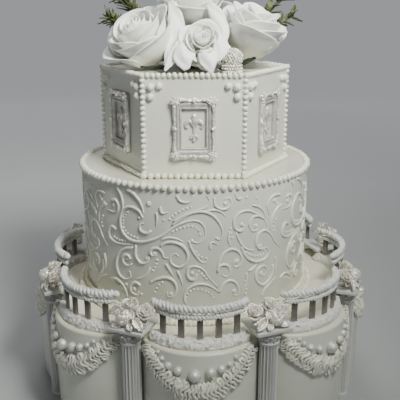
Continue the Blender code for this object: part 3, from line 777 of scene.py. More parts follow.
def scrollwork(tree, material):
    """Raised scrolls, rows of dots and drops over the whole wall, one panel to each quarter."""
    skin = Skin()
    dot = bead_item(0.0013, 4, 7, (1.0, 1.0, 0.85))
    for panel in range(4):
        turn = math.tau * panel / 4
        for widest, *numbers in SCROLLS:
            spots = drawn(numbers, 6)
            sizes = []
            for i in range(len(spots)):
                share = i / (len(spots) - 1)
                taper = math.sin(math.pi * min(1.0, 0.18 + share * 0.9) ** 0.8)
                sizes.append(widest / 1000 * (0.55 + 0.80 * max(0.0, taper)))
            path = [tier_point(MIDDLE_RADIUS + 0.0003, s.x, s.y, turn) for s in spots]
            add_tube(skin, path, sizes, 6, normals=[heading(turn + s.x / MIDDLE_RADIUS) for s in spots],
                     tone=0.12)
        for numbers in DOT_ROWS:
            spots = drawn(numbers, 5)
            path = [tier_point(MIDDLE_RADIUS, s.x, s.y, turn) for s in spots]
            outs = [heading(turn + s.x / MIDDLE_RADIUS) for s in spots]
            lay_along(skin, 0.12, tree, path, outs, dot, 0.0037, material, size_spread=0.12, seed=panel)
        for u, z, size in DROPS:
            centre = tier_point(MIDDLE_RADIUS, u / 1000, z / 1000, turn)
            tilt = heading(turn + u / 1000 / MIDDLE_RADIUS).to_track_quat("Z", "Y")
            add_ball(skin, centre, (size / 1000, size / 1000, 0.0013), 6, 10, tilt, 0.12)
    skin.piece("scrollwork", material, "ivory_icing", ["middle_tier"])


def tier_wall(name, ring, profile, material, node, sharp):
    """A tier's plain wall. ring gives its outline, profile how far out, how high and in which tone."""
    skin = Skin()
    rings = [ring(out, height) for out, height, _ in profile]
    add_loft(skin, rings, tone=[tone for _, _, tone in profile for _ in rings[0]])
    skin.piece(name, material, "ivory_icing", [node], sharp)


def middle_ring(out, height):
    return circle(MIDDLE_RADIUS + out, height, 180, UPPER_SHIFT)


def middle_wall(material):
    tier_wall("middle_tier_wall", middle_ring, (
        (-0.001, BOTTOM_TOP + GAP, 0.6), (0.0, BOTTOM_TOP + 0.004, 0.5), (0.0, BOTTOM_TOP + 0.02, 0.12),
        (0.0, 0.2, 0.0), (0.0, MIDDLE_TOP - 0.002, 0.02), (-0.0006, MIDDLE_TOP - 0.0006, 0.2),
        (-0.002, MIDDLE_TOP, 0.4), (-0.012, MIDDLE_TOP, 0.5),
    ), material, "middle_tier", 30)


def ring_path(radius, height, count=144):
    outs = [(heading(math.tau * i / count) + UP).normalized() for i in range(count)]
    return circle(radius, height, count, UPPER_SHIFT), outs


def shell_item(radius):
    """One piped shell of a foot border: a blob with a lifted tail."""
    skin = Skin()
    add_ball(skin, Vector((0.0, 0.0, 0.0)), (radius * 1.2, radius, radius), 7, 9)
    for i, point in enumerate(skin.points):
        back = max(0.0, -point.x / radius)
        skin.points[i] = Vector((point.x, point.y * (1 - 0.25 * back), point.z * (1 - 0.2 * back)))
    return skin.mesh("shell")


def middle_borders(tree, material):
    skin = Skin()
    bead = bead_item(MIDDLE_BEAD * 0.96, 8, 11, (0.86, 1.0, 1.0))
    path, outs = ring_path(MIDDLE_RADIUS, MIDDLE_TOP)
    lay_along(skin, 0.18, tree, path, outs, bead, 0.00745, material, True, size_spread=0.09, seed=3)
    for size, out, rise, spacing, seed in (
        (0.0050, 0.0008, 0.0040, 0.0060, 5), (0.0033, 0.0080, 0.0024, 0.0047, 6),
        (0.0024, 0.0020, 0.0084, 0.0050, 7),
    ):
        path, outs = ring_path(MIDDLE_RADIUS + out, BOTTOM_TOP + GAP + rise)
        lay_along(skin, 0.95, tree, path, outs, shell_item(size), spacing, material, True,
                  size_spread=0.22, turn_spread=0.5, seed=seed)
    skin.piece("middle_tier_borders", material, "ivory_icing", ["middle_tier"])


# Top tier


def hex_corner(index, radius=HEX_RADIUS):
    return heading(math.tau * (index + 0.5) / 6) * radius + Vector((UPPER_SHIFT, 0.0, 0.0))


def hex_ring(out, height):
    ring = []
    for index in range(6):
        corner, after = hex_corner(index, HEX_RADIUS + out), hex_corner(index + 1, HEX_RADIUS + out)
        ring += [corner.lerp(after, step / 12) + UP * height for step in range(12)]
    return ring


def hex_wall(material):
    tier_wall("top_tier_wall", hex_ring, (
        (-0.0005, MIDDLE_TOP + GAP, 0.5), (0.0, MIDDLE_TOP + 0.006, 0.3), (0.0, MIDDLE_TOP + 0.016, 0.04),
        (0.0, 0.33, 0.0), (0.0, HEX_TOP - 0.0015, 0.05), (-0.0015, HEX_TOP, 0.3), (-0.012, HEX_TOP, 0.5),
    ), material, "top_tier", 28)


def hex_borders(tree, material):
    """Beads along every rim, corner and foot of the top tier, and three pearls in each upper corner."""
    skin = Skin()
    bead = bead_item(HEX_BEAD * 1.05, 7, 9, (0.84, 1.0, 1.0))
    foot_bead = bead_item(0.0032, 7, 9, (1.02, 1.0, 0.95))
    for index in range(6):
        start, end = hex_corner(index), hex_corner(index + 1)
        out = heading(math.tau * (index + 1) / 6)
        for height, item, spread, lift, tone, spacing in (
            (HEX_TOP, bead, 0.06, 0.0, 0.15, 0.00535),
            (MIDDLE_TOP + GAP + 0.0025, foot_bead, 0.14, 0.0014, 0.5, 0.0066),
        ):
            ends = [Vector((p.x, p.y, height)) + out * lift for p in (start, end)]
            lay_along(skin, tone, tree, ends, [(out + UP).normalized()] * 2, item, spacing, material,
                      size_spread=spread, turn_spread=0.3, seed=20 + index)
        radial = heading(math.tau * (index + 0.5) / 6)
        ends = [start - radial * 0.0006 + UP * height for height in (MIDDLE_TOP + 0.0060, HEX_TOP - 0.0050)]
        lay_along(skin, 0.12, tree, ends, [radial] * 2, bead, 0.00550, material, size_spread=0.07,
                  seed=40 + index)
        face_out = heading(math.tau * index / 6)
        side = Vector((-face_out.y, face_out.x, 0.0))
        for across, height, radius in (
            (0.0432, 0.3578, 0.0041), (0.0343, 0.3588, 0.0037), (0.0434, 0.3480, 0.0039),
        ):
            for hand in (-1, 1):
                centre = face_out * (HEX_FACE + 0.3 * radius) + side * across * hand
                add_ball(skin, centre + Vector((UPPER_SHIFT, 0.0, height)), radius, 8, 12, tone=0.15)
    skin.piece("top_tier_borders", material, "ivory_icing", ["top_tier"])


# Picture frames and lilies


def face_matrix(index, height, standoff=0.0):
    turn = math.tau * index / 6
    place = heading(turn) * (HEX_FACE + GAP + standoff) + Vector((UPPER_SHIFT, 0.0, height))
    return Matrix.Translation(place) @ Matrix.Rotation(turn, 4, "Z")


def frame_skin():
    """An ornate frame facing -Y: stepped moulding, rosettes in the corners and shells between them."""
    skin = Skin()
    samples = 112
    profile = (
        (0.0, 0.0, 0.0), (0.0, -0.0022, 0.6), (0.0009, -0.0040, 1.0), (0.0022, -0.0047, 1.0),
        (0.0032, -0.0040, 0.4), (0.0038, -0.0029, 0.0), (0.0050, -0.0037, 0.0), (0.0065, -0.0031, 0.0),
        (0.0076, -0.0022, 0.0), (0.0080, -0.0034, 0.0), (0.0088, -0.0034, 0.0), (0.0092, -0.0020, 0.0),
        (0.0093, 0.0, 0.0),
    )
    rings = []
    for inset, depth, waviness in profile:
        ring = []
        for k in range(samples):
            turn = math.tau * (k + 0.5) / samples
            # A point on a rectangle, from a square's turn
            c, s = math.cos(turn), math.sin(turn)
            reach = 1.0 / max(abs(c), abs(s))
            u, v = c * reach, s * reach
            wave = 0.0008 * math.cos(12 * turn) + 0.0005 * math.cos(20 * turn + 1.0)
            corner = max(0.0, abs(u) + abs(v) - 1.55) * 0.0020
            half_w = 0.0215 - inset * 0.98 + (wave + corner) * waviness
            half_h = 0.0312 - inset * 1.24 + (wave + corner) * waviness
            ring.append(Vector((u * half_w, depth - 0.0004 * waviness * math.cos(24 * turn), v * half_h)))
        rings.append(ring)
    # Painted shade: low tones in the moulding's recesses, high on its proud ridges
    recess_shades = (0.2, 0.6, 0.95, 0.95, 0.5, 0.1, 0.6, 0.5, 0.1, 0.9, 0.95, 0.4, 0.2)
    add_loft(skin, rings, True, [tone for tone in recess_shades for _ in range(samples)])
    for x, z in ((x, z) for x in (-1, 0, 1) for z in (-1, 0, 1) if x or z):
        out = Vector((x, 0.0, z)).normalized()
        if x and z:
            centre = Vector((x * 0.0180, -0.0044, z * 0.0268))
            blades = [(turn * math.tau / 7, 0.0044, 0.0014) for turn in range(7)]
            blades += [(-0.45, 0.0066, 0.0013), (0.45, 0.0066, 0.0013), (-1.1, 0.0062, 0.0013),
                       (1.1, 0.0062, 0.0013)]
        else:
            centre = Vector((x * 0.0186, -0.0042, z * 0.0278))
            blades = [(swing, 0.0034, 0.0012) for swing in (-0.6, 0.0, 0.6)]
        for swing, length, width in blades:
            direction = Matrix.Rotation(swing, 3, "Y") @ out
            add_ball(skin, centre + direction * length * 0.5, (length * 0.5, 0.0015, width), 6, 8,
                     direction.to_track_quat("X", "Y"), 0.9)
        add_ball(skin, centre + Vector((0.0, -0.0010, 0.0)), 0.0016, 7, 9, tone=1.0)
        if x and z:
            for along, size in ((7.4, 0.0022), (10.2, 0.0017), (12.4, 0.0012)):
                spot = Vector((x * (0.0208 - along / 1000), -0.0042, z * 0.0287))
                add_ball(skin, spot, size, 6, 8, tone=0.9)
            for along, size in ((8.6, 0.0021), (11.4, 0.0016), (13.6, 0.0012)):
                spot = Vector((x * 0.0196, -0.0042, z * (0.0306 - along / 1000)))
                add_ball(skin, spot, size, 6, 8, tone=0.9)
    for side in (-1, 1):
        for share in (-0.3, -0.18, 0.18, 0.3):
            add_ball(skin, Vector((side * 0.0194, -0.0044, share * 0.0300)), 0.0010, 5, 7, tone=0.9)
    return skin


def lily_skin():
    """A heraldic lily in relief, facing -Y, its middle at the origin."""
    skin = Skin()

    def strand(knots, sizes):
        path = smooth_path([(x / 1000, -0.0004, z / 1000) for x, z in knots], 7)
        # Its tone blends in some of the crease colour: painted shade over the whole lily
        add_tube(skin, path, spread_sizes(sizes, len(path) - 1), 8,
                 normals=[Vector((0.0, -1.0, 0.0))] * len(path), flat=0.6, tone=0.72)

    strand(((0, 15.2), (0, 11.8), (0, 7), (0, 2)), (0.3, 2.8, 3.0, 1.4))
    for hand in (-1, 1):
        strand(((hand * 1.0, 1.0), (hand * 3.0, 5.4), (hand * 6.0, 6.2), (hand * 8.4, 3.6),
                (hand * 7.8, 0.2), (hand * 6.2, 0.8)), (1.2, 2.0, 2.3, 2.1, 1.6, 1.1))
        strand(((hand * 0.6, -8.0), (hand * 2.8, -9.4), (hand * 3.3, -11.4)), (1.2, 1.7, 1.4))
    strand(((0, 2), (0, -3), (0, -8)), (1.4, 1.2, 1.4))
    strand(((0, -8), (0, -11), (0, -13), (0, -15.2)), (1.4, 1.6, 2.3, 0.9))
    return skin


def frames_and_lilies(silver):
    ornate, flower = frame_skin(), lily_skin()
    for index in range(6):
        at_frame = face_matrix(index, FRAME_MIDDLE_Z)
        ornate.placed(at_frame).piece(f"picture_frame_{index + 1}", silver, "silver_lustre",
                                      [f"frame_{index + 1}"], 50)
        at_lily = face_matrix(index, FRAME_MIDDLE_Z + 0.0006, 0.0002)
        flower.placed(at_lily).piece(f"lily_relief_{index + 1}", silver, "silver_lustre",
                                     [f"lily_{index + 1}"])


# Pillars


def pillar_skin():
    """A fluted shaft under a short leafy capital and a square plate. Tone is low in the grooves, on the bell
    and at the feet of the leaves, where it paints shade.
    """
    skin = Skin()
    rings, tones = [], []
    for share, radius, height in (
        (0.0, SHAFT_RADIUS, 0.0), (0.0, SHAFT_RADIUS, 0.0012), (1.0, SHAFT_RADIUS, 0.0030),
        (1.0, SHAFT_RADIUS, SHAFT_TOP - 0.004), (0.0, 0.0094, SHAFT_TOP - 0.002), (0.0, 0.0093, SHAFT_TOP),
    ):
        turns = [math.tau * k / 128 for k in range(128)]
        grooves = [share * abs(math.cos(8 * turn)) ** 0.8 for turn in turns]
        rings.append([heading(turn) * (radius - 0.0016 * groove) + UP * height
                      for turn, groove in zip(turns, grooves)])
        # Painted shade in the flutes
        tones += [1.0 - 0.75 * groove for groove in grooves]
    add_loft(skin, rings, tone=tones)
    bell = []
    for step in range(9):
        share = step / 8
        height = SHAFT_TOP + (CAPITAL_TOP - SHAFT_TOP) * share
        bell.append(circle(0.0096 + 0.0026 * share**2, height, 48))
    # The bell's low tone paints shade under the plate
    add_loft(skin, bell, tone=0.1)
    for height, radius, thick in ((SHAFT_TOP, 0.0101, 0.0009), (SHAFT_TOP + 0.0018, 0.0098, 0.0006)):
        add_tube(skin, circle(radius, height, 40), thick, 6, closed=True, tone=0.75)
    # Two tiers of leaves round the bell, their tips curling out
    for tier, (foot, length, reach) in enumerate(((0.0014, 0.0062, 0.0014), (0.0040, 0.0066, 0.0020))):
        for leaf_index in range(9):
            turn = math.tau * (leaf_index + 0.5 * tier) / 9
            rows, tones = [], []
            for r in range(7):
                t = r / 6
                height = SHAFT_TOP + foot + length * (t - 0.16 * t**3)
                share = (height - SHAFT_TOP) / (CAPITAL_TOP - SHAFT_TOP)
                radius = 0.0099 + 0.0026 * share**2 + reach * t**3
                width = 0.29 * math.sin(math.pi * min(1.0, 0.25 + 0.72 * t)) * (1 + 0.22 * math.cos(t * 18))
                row = []
                for c in range(7):
                    a = c / 3 - 1
                    fold = 0.0006 * math.cos(a * math.pi * 1.5)
                    row.append(heading(turn + a * width) * (radius + fold) + UP * (height - 0.0008 * a * a))
                rows.append(row)
                # Painted shade, darker towards the leaf's foot deep in the capital
                tones.append([0.15 + 0.75 * t] * 7)
            add_sheet(skin, rows, PETAL_THICK, tones)
    # The plate, its corners trimmed a little
    plate = []
    offset = Vector((0.0, PILLAR_CENTRE - PLATE_CENTRE, 0.0))
    trim = 0.0006
    for inset, height in (
        (0.0060, CAPITAL_TOP - 0.0004), (0.0032, CAPITAL_TOP), (0.0016, CAPITAL_TOP + 0.0012),
        (0.0002, PLATE_TOP - 0.0038), (0.0, PLATE_TOP - 0.0030), (0.0, PLATE_TOP - 0.0008),
        (0.0007, PLATE_TOP),
    ):
        ring = []
        reach = PLATE_SIDE / 2 - inset
        for x, y in ((-1, -1), (1, -1), (1, 1), (-1, 1)):
            corner = Vector((x * reach, y * reach, height)) + offset
            pair = [corner - Vector((x * trim, 0.0, 0.0)), corner - Vector((0.0, y * trim, 0.0))]
            ring += pair if x * y < 0 else pair[::-1]
        plate.append(ring)
    add_loft(skin, plate, tone=0.72)
    return skin


def pillar_matrix(index):
    turn = pillar_angle(index)
    return Matrix.Translation(heading(turn) * PILLAR_CENTRE) @ Matrix.Rotation(turn, 4, "Z")


def pillars(plaster):
    pattern = pillar_skin()
    for index in range(LOBES):
        pattern.placed(pillar_matrix(index)).piece(f"fluted_pillar_{index + 1}", plaster, "pillar_white",
                                                   [f"pillar_{index + 1}"], 40)


# Balustrades


def rail_point(turn, out, height):
    point = heading(0.0) * RAIL_CENTRE + heading(turn) * (RAIL_RADIUS + out)
    point.z = height
    return point


def rail_run(count, half, out, height):
    turns = [half * (2 * i / (count - 1) - 1) for i in range(count)]
    return [rail_point(t, out, height) for t in turns], [heading(t) for t in turns]


def rope_turn(radius, pitch):
    """One turn of one of a rope's two strands, X along the rope."""
    skin = Skin()
    thick = 0.47 * pitch
    path = []
    for step in range(13):
        turn = math.tau * step / 12
        path.append(Vector((pitch * (step / 6 - 1), (radius - thick) * math.cos(turn),
                            (radius - thick) * math.sin(turn))))
    add_tube(skin, path, thick, 5)
    return skin.mesh("rope_turn")


def rope_skin(tree, finish, height, radius, pitch, half, seed):
    """A rope of icing: two strands wound round each other."""
    skin = Skin()
    path, outs = rail_run(48, half, 0.0, height)
    add_tube(skin, path, radius * 0.66, 10, normals=outs, tone=0.05)
    for end in (path[0], path[-1]):
        add_ball(skin, end, radius * 0.84, 6, 9, tone=0.05)
    path, outs = rail_run(48, half - pitch / RAIL_RADIUS, 0.0, height)
    lay_along(skin, 0.05, tree, path, outs, rope_turn(radius, pitch), pitch, finish, size_spread=0.05,
              turn_spread=0.05, seed=seed)
    return skin


def slat_item():
    """A flat baluster with fine upright lines, its foot at the origin."""
    skin = Skin()
    low, high = BASE_TOP + GAP, LOWER_ROPE_Z
    rings, tones = [], []
    # Tone falls from the foot to the top: painted shade under the lower rope
    for height, share, tone in ((low, 1.12, 0.95), (low + 0.0014, 1.0, 0.9), (low + 0.010, 0.98, 0.55),
                                (high - 0.004, 1.0, 0.15), (high, 1.0, 0.0)):
        ring = []
        for hand in (-1, 1):
            for k in range(17):
                x = hand * (0.5 - k / 16) * BALUSTER_WIDTH * share
                line = 0.0004 * abs(math.sin(k * math.pi / 4))
                ring.append(Vector((x, hand * (0.0014 - line), height)))
        rings.append(ring)
        tones += [tone] * len(ring)
    add_loft(skin, rings, tone=tones)
    return skin


def rail_place(index):
    """A balustrade's place: out over its lobe, and on the two side lobes a little further in."""
    inset = SIDE_RAIL_INSET if index % 4 == 2 else 0.0
    turn = lobe_angle(index)
    return Matrix.Translation(heading(turn) * -inset) @ Matrix.Rotation(turn, 4, "Z")


def balustrades(tree, icing, silver):
    slat = slat_item()
    for index in range(LOBES):
        place = rail_place(index)
        skin = rope_skin(tree, icing, UPPER_ROPE_Z, 0.0043, 0.0042, RAIL_HALF_ANGLE - 0.02, 60 + index)
        lower = rope_skin(tree, icing, LOWER_ROPE_Z, 0.0031, 0.0035, RAIL_HALF_ANGLE - 0.05, 80 + index)
        uneven(lower, 0.0006, 190.0, index * 2.3)
        skin.add_skin(lower)
        uneven(skin, 0.0007, 150.0, index * 3.1)
        skin.placed(place).piece(f"rail_ropes_{index + 1}", icing, "rope_icing", [f"rail_{index + 1}"])
        skin = Skin()
        for step in range(BALUSTERS):
            turn = math.asin(BALUSTER_PITCH * (step - (BALUSTERS - 1) / 2) / RAIL_RADIUS)
            centre = heading(0.0) * RAIL_CENTRE + heading(turn) * RAIL_RADIUS
            skin.add_skin(slat, place @ Matrix.Translation(centre) @ Matrix.Rotation(turn, 4, "Z"))
        # The balusters take the dark slat silver, which paints their shade
        skin.piece(f"balusters_{index + 1}", silver, "silver_lustre", [f"rail_{index + 1}"], 35)


def rail_bases(icing):
    """The rough, grainy bands that the balusters stand in."""
    half = RAIL_HALF_ANGLE + 0.06
    count = 170
    for index in range(LOBES):
        skin = Skin()
        rings = []
        for i in range(count):
            turn = half * (2 * i / (count - 1) - 1)
            end = min(1.0, (min(i, count - 1 - i) + 1) / 9) ** 0.5
            ring = []
            for k in range(28):
                angle = math.pi * k / 27
                out = 0.0070 * math.cos(angle) * (0.5 + 0.5 * end)
                rise = BAND_HEIGHT * max(0.0, math.sin(angle)) ** 0.7 * end
                ring.append(rail_point(turn, out, BOTTOM_TOP + GAP + rise))
            rings.append(ring)
        add_loft(skin, rings)
        seed = Vector((index * 5.3, 0.0, 0.0))
        for i, point in enumerate(skin.points):
            skin.tones[i] = max(0.0, min(1.0, 0.5 + 0.9 * noise.noise(point * 90 + seed)))
            if point.z > BOTTOM_TOP + 0.001:
                rough = noise.noise_vector(point * 280 + seed) * 0.0013
                rough += noise.noise_vector(point * 620 + seed) * 0.0015
                point = point + rough
                skin.points[i] = Vector((point.x, point.y, min(point.z, BASE_TOP)))
        skin.placed(rail_place(index)).piece(f"rough_band_{index + 1}", icing, "rope_icing",
                                             [f"rail_base_{index + 1}"])


# Flowers


def add_petal(skin, place, turn, foot, lip, low, high, spread, curl, wave, thick, rows=9, columns=9,
              draw=None, tuck=0.05, tone_low=0.1, tone_high=0.9, point=0.0):
    """A broad cupped petal about +Z of place. It stands at turn round the flower and rises from
    radius foot at height low to radius lip at height high. spread is half its angle, curl rolls its
    lip outwards, tuck lays one edge under the next petal, and point draws its lip to a point."""
    grid, tones = [], []
    lean = draw.uniform(-0.10, 0.10) if draw else 0.0
    phase = draw.uniform(0.0, math.tau) if draw else 0.0
    tip = draw.uniform(-0.25, 0.25) if draw else 0.0
    for r in range(rows):
        row, shade = [], []
        for c in range(columns):
            a = 2 * c / (columns - 1) - 1
            arch = 1 - 0.22 * abs(a) ** 3 - point * min(1.0, abs(a - tip)) ** 0.8
            t = r / (rows - 1) * arch
            width = 0.50 + 0.50 * math.sin(math.pi / 2 * min(1.0, 1.7 * t))
            angle = turn + a * spread * width + lean * t
            bulge = math.sin(math.pi / 2 * min(1.0, t)) ** 0.85
            roll = max(0.0, (t - 0.70) / 0.30)
            side = max(0.0, abs(a) - 0.6) / 0.4
            ripple = wave * (roll + 0.4 * side * t) * math.sin(a * 3.6 + phase)
            radius = foot + (lip - foot) * bulge + curl * roll**1.6 * (0.7 + 0.6 * a * a)
            radius += tuck * lip * a * t + ripple + 0.35 * curl * side**2 * t
            rise = low + (high - low) * t - 0.45 * curl * roll**2.4 + 0.5 * ripple
            row.append(place @ Vector((radius * math.cos(angle), radius * math.sin(angle), rise)))
            # Tone rises from the foot to the lip, a little more on the rolled lip; on the lustred sprays the
            # low tone paints shade deep in the flower, on silk it sets the cream
            shade.append(tone_low + (tone_high - tone_low) * t**0.8 + 0.08 * roll)
        grid.append(row)
        tones.append(shade)
    add_sheet(skin, grid, thick, tones)


# Whorls of a rose: petals, foot, lip, low, high, spread, curl, wave, shift and point, as shares of
# its radius and depth. Shift is counted in petals from the side that faces the front.
CUP_WHORLS = (
    (3, 0.38, 1.00, -0.06, 0.80, 1.20, 0.24, 0.060, 0.0, 0.22),
    (3, 0.28, 0.90, 0.06, 0.90, 1.12, 0.20, 0.050, 0.5, 0.20),
    (3, 0.25, 0.72, 0.16, 0.98, 1.10, 0.14, 0.035, 0.2, 0.14),
    (3, 0.20, 0.55, 0.28, 1.00, 1.15, 0.07, 0.020, 0.7, 0.04),
    (3, 0.14, 0.36, 0.40, 1.00, 1.30, 0.04, 0.012, 0.4, 0.02),
)

OPEN_WHORLS = (
    (5, 0.32, 0.96, 0.00, 0.42, 0.78, 0.36, 0.060, 0.1, 0.30),
    (4, 0.28, 0.80, 0.08, 0.76, 0.95, 0.20, 0.030, 0.6, 0.16),
    (4, 0.24, 0.62, 0.20, 0.94, 0.92, 0.12, 0.020, 0.1, 0.12),
    (4, 0.19, 0.45, 0.32, 1.02, 0.90, 0.08, 0.014, 0.5, 0.12),
    (3, 0.12, 0.29, 0.42, 1.04, 1.15, 0.04, 0.010, 0.9, 0.10),
)


def rose_skin(matrix, radius, depth, seed, whorls, stem, swing):
    """A full rose about +Z of its matrix: whorls of petals round a rolled heart."""
    skin = Skin()
    draw = random.Random(seed)
    front = matrix.to_3x3().inverted() @ Vector((0.0, -1.0, 0.0))
    front = math.atan2(front.y, front.x) + swing
    for rank, (count, foot, lip, low, high, spread, curl, wave, shift, point) in enumerate(whorls):
        for k in range(count):
            turn = front + math.tau * (k + shift) / count + draw.uniform(-0.08, 0.08)
            add_petal(
                skin, matrix, turn, foot * radius, lip * radius * draw.uniform(0.96, 1.03),
                low * depth, high * depth * draw.uniform(0.94, 1.04), spread * draw.uniform(0.94, 1.06),
                curl * radius * draw.uniform(0.7, 1.3), wave * radius, PETAL_THICK, 15, 19, draw=draw,
                tuck=0.07, tone_low=0.0, tone_high=0.94 - 0.05 * rank, point=point,
            )
    # The heart: one petal rolled up in a spiral
    rows, tones = [], []
    for r in range(6):
        t = r / 5
        row = []
        for c in range(44):
            s = c / 43
            angle = s * math.tau * 2.2
            square = 1 + 0.10 * math.cos(4 * angle)
            reach = radius * (0.05 + 0.17 * s) * (1 + 0.2 * t) * square
            rise = depth * (0.45 + (0.53 - 0.05 * s) * t)
            row.append(matrix @ Vector((reach * math.cos(angle), reach * math.sin(angle), rise)))
        rows.append(row)
        tones.append([0.6 * t] * 44)
    add_sheet(skin, rows, PETAL_THICK, tones)
    # Cup under the petals
    rings = []
    for t, reach in ((0.0, 0.16), (0.08, 0.34), (0.22, 0.58), (0.36, 0.66), (0.40, 0.20)):
        turns = [math.tau * k / 16 for k in range(16)]
        rings.append([matrix @ Vector((reach * radius * math.cos(turn), reach * radius * math.sin(turn),
                                       t * depth)) for turn in turns])
    add_loft(skin, rings, tone=0.25)
    path = [matrix @ Vector((0.0, 0.0, z)) for z in (-stem, -stem / 2, 0.0, 0.1 * depth)]
    add_tube(skin, path, [0.0014, 0.0016, 0.003, 0.005], 8, tone=0.0)
    return skin


# Roses: piece, foot, where they face, radius, depth, stem and turn
ROSES = (
    ("rose_left", (-0.050, -0.035, 0.3830), (-0.44, -0.42, 0.79), 0.0370, 0.048, 0.012, 0.55),
    ("rose_right", (0.046, -0.026, 0.3860), (0.34, -0.22, 0.92), 0.0350, 0.050, 0.010, 0.0),
    ("rose_front", (0.001, -0.052, 0.3905), (0.06, -0.86, 0.50), 0.0245, 0.034, 0.014, 0.3),
    ("rose_top", (-0.010, -0.006, 0.4130), (0.00, -0.30, 0.95), 0.0345, 0.046, 0.018, 0.0),
    ("rose_back_left", (-0.046, 0.034, 0.3880), (-0.55, 0.50, 0.70), 0.0330, 0.044, 0.012, 0.5),
    ("rose_back_right", (0.038, 0.036, 0.3880), (0.52, 0.52, 0.70), 0.0330, 0.044, 0.012, 0.5),
    ("rose_back", (-0.005, 0.052, 0.3905), (0.02, 0.86, 0.50), 0.0240, 0.034, 0.014, 0.3),
)


def add_loose_petal(skin, knots, widths, fold, columns=11):
    """A drooping petal along knots, as wide as widths says and folded along its middle."""
    path = smooth_path(knots, 5)
    count = len(path) - 1
    spread = smooth_path([(w, 0.0, 0.0) for w in widths], 6)
    grid, tones = [], []
    for i, point in enumerate(path):
        width = spread[round(i / count * (len(spread) - 1))].x
        tangent = (path[min(i + 1, count)] - path[max(i - 1, 0)]).normalized()
        side = tangent.cross(Vector((0.0, -1.0, 0.25))).normalized()
        out = side.cross(tangent).normalized()
        if out.y > 0:
            out = -out
        row = []
        for c in range(columns):
            a = 2 * c / (columns - 1) - 1
            lift = fold * width * (abs(a) ** 1.5 - 0.5) + 0.06 * width * math.sin(4 * a + 0.6 * i)
            row.append(point + side * a * width / 2 - out * lift)
        grid.append(row)
        tones.append([0.92 - 0.5 * (1 - i / count)] * columns)
    add_sheet(skin, grid, 0.0005, tones)


# Petals that hang from the front rose: their line, their widths and how far they fold
LOOSE_PETALS = (
    (((-0.0170, -0.0660, 0.4050), (-0.0215, -0.0760, 0.3950), (-0.0280, -0.0830, 0.3840),
      (-0.0350, -0.0860, 0.3730)), (0.0030, 0.0095, 0.0105, 0.0075, 0.0015), 0.12),
    (((-0.0080, -0.0700, 0.4000), (-0.0140, -0.0820, 0.3930), (-0.0160, -0.0880, 0.3850),
      (-0.0130, -0.0890, 0.3745)), (0.0060, 0.0190, 0.0220, 0.0170, 0.0050), 0.16),
    (((0.0060, -0.0720, 0.3960), (0.0070, -0.0840, 0.3900), (0.0090, -0.0900, 0.3810),
      (0.0115, -0.0900, 0.3708)), (0.0060, 0.0180, 0.0190, 0.0130, 0.0012), 0.18),
    (((0.0140, -0.0640, 0.4080), (0.0200, -0.0760, 0.4000), (0.0190, -0.0830, 0.3900),
      (0.0120, -0.0860, 0.3800)), (0.0040, 0.0130, 0.0150, 0.0110, 0.0020), 0.16),
    (((-0.0284, -0.0480, 0.4384), (-0.0245, -0.0500, 0.4207), (-0.0235, -0.0540, 0.4031),
      (-0.0286, -0.0600, 0.3896), (-0.0346, -0.0680, 0.3765)),
     (0.0080, 0.0160, 0.0175, 0.0150, 0.0050), 0.14),
    (((0.0091, -0.0480, 0.4374), (0.0173, -0.0500, 0.4247), (0.0228, -0.0540, 0.4092),
      (0.0215, -0.0600, 0.3937)), (0.0060, 0.0140, 0.0160, 0.0130, 0.0030), 0.14),
)


def posy_roses(silk):
    for rank, (name, place, direction, radius, depth, stem, swing) in enumerate(ROSES):
        turn = Vector(direction).to_track_quat("Z", "Y").to_matrix().to_4x4()
        whorls = OPEN_WHORLS if name in ("rose_front", "rose_back") else CUP_WHORLS
        skin = rose_skin(Matrix.Translation(place) @ turn, radius, depth, 100 + rank, whorls, stem, swing)
        if name == "rose_front":
            for knots, widths, fold in LOOSE_PETALS:
                add_loose_petal(skin, knots, widths, fold)
        skin.settle(HEX_TOP + 2 * GAP)
        skin.piece(f"silk_{name}", silk, "white_silk", [name])


def add_leaf(skin, matrix, length, width, thick, bend=0.0, teeth=0.0, rows=11, columns=9):
    """A leaf along +X of its matrix, folded along the midrib and ribbed, its edge toothed or plain."""
    grid, tones = [], []
    for r in range(rows):
        t = r / (rows - 1)
        half = width / 2 * max(0.03, math.sin(math.pi * t**0.8)) * (1 + teeth * math.cos(t * 40))
        row, shade = [], []
        for c in range(columns):
            a = 2 * c / (columns - 1) - 1
            rib = 0.06 * width * math.cos((t - 0.35 * abs(a)) * 34) * min(1.0, 2 * abs(a))
            lift = 0.22 * width * abs(a) ** 0.8 + rib
            row.append(matrix @ Vector((length * t, half * a, lift + bend * length * t * t)))
            # Tone is low along the folded midrib; on lustred leaves it paints shade in the fold
            shade.append(0.35 + 0.65 * min(1.0, 1.4 * abs(a)))
        grid.append(row)
        tones.append(shade)
    add_sheet(skin, grid, thick, tones)


# A spray's leaves in millimetres: stalk, tip and width
SPRAY_LEAVES = (
    (6.5, -7.5, 11.5, 18.8, -13.0, 1.4, 9.0), (-9.0, -2.5, 18.0, -22.0, -4.5, 9.4, 9.0),
    (-6.5, -1.0, 12.5, -19.0, -2.0, 11.5, 7.5), (4.0, 1.0, 16.0, 17.0, 2.0, 19.0, 7.5),
    (8.0, -3.5, 8.0, 21.5, -5.0, 7.0, 8.0), (-3.0, 3.0, 18.0, -12.5, 2.0, 23.0, 6.5),
    (1.0, -4.5, 16.5, 8.0, -10.5, 11.0, 6.5), (-5.0, -9.0, 4.0, -15.5, -14.0, 1.5, 7.0),
    (0.5, 3.5, 20.0, 5.0, 1.0, 27.5, 5.5), (2.0, -10.0, 4.5, 8.0, -15.5, 1.5, 6.5),
    (-6.0, 5.0, 10.0, -16.0, 8.0, 12.0, 6.5), (7.0, 4.0, 10.0, 16.5, 5.0, 9.0, 6.5),
)


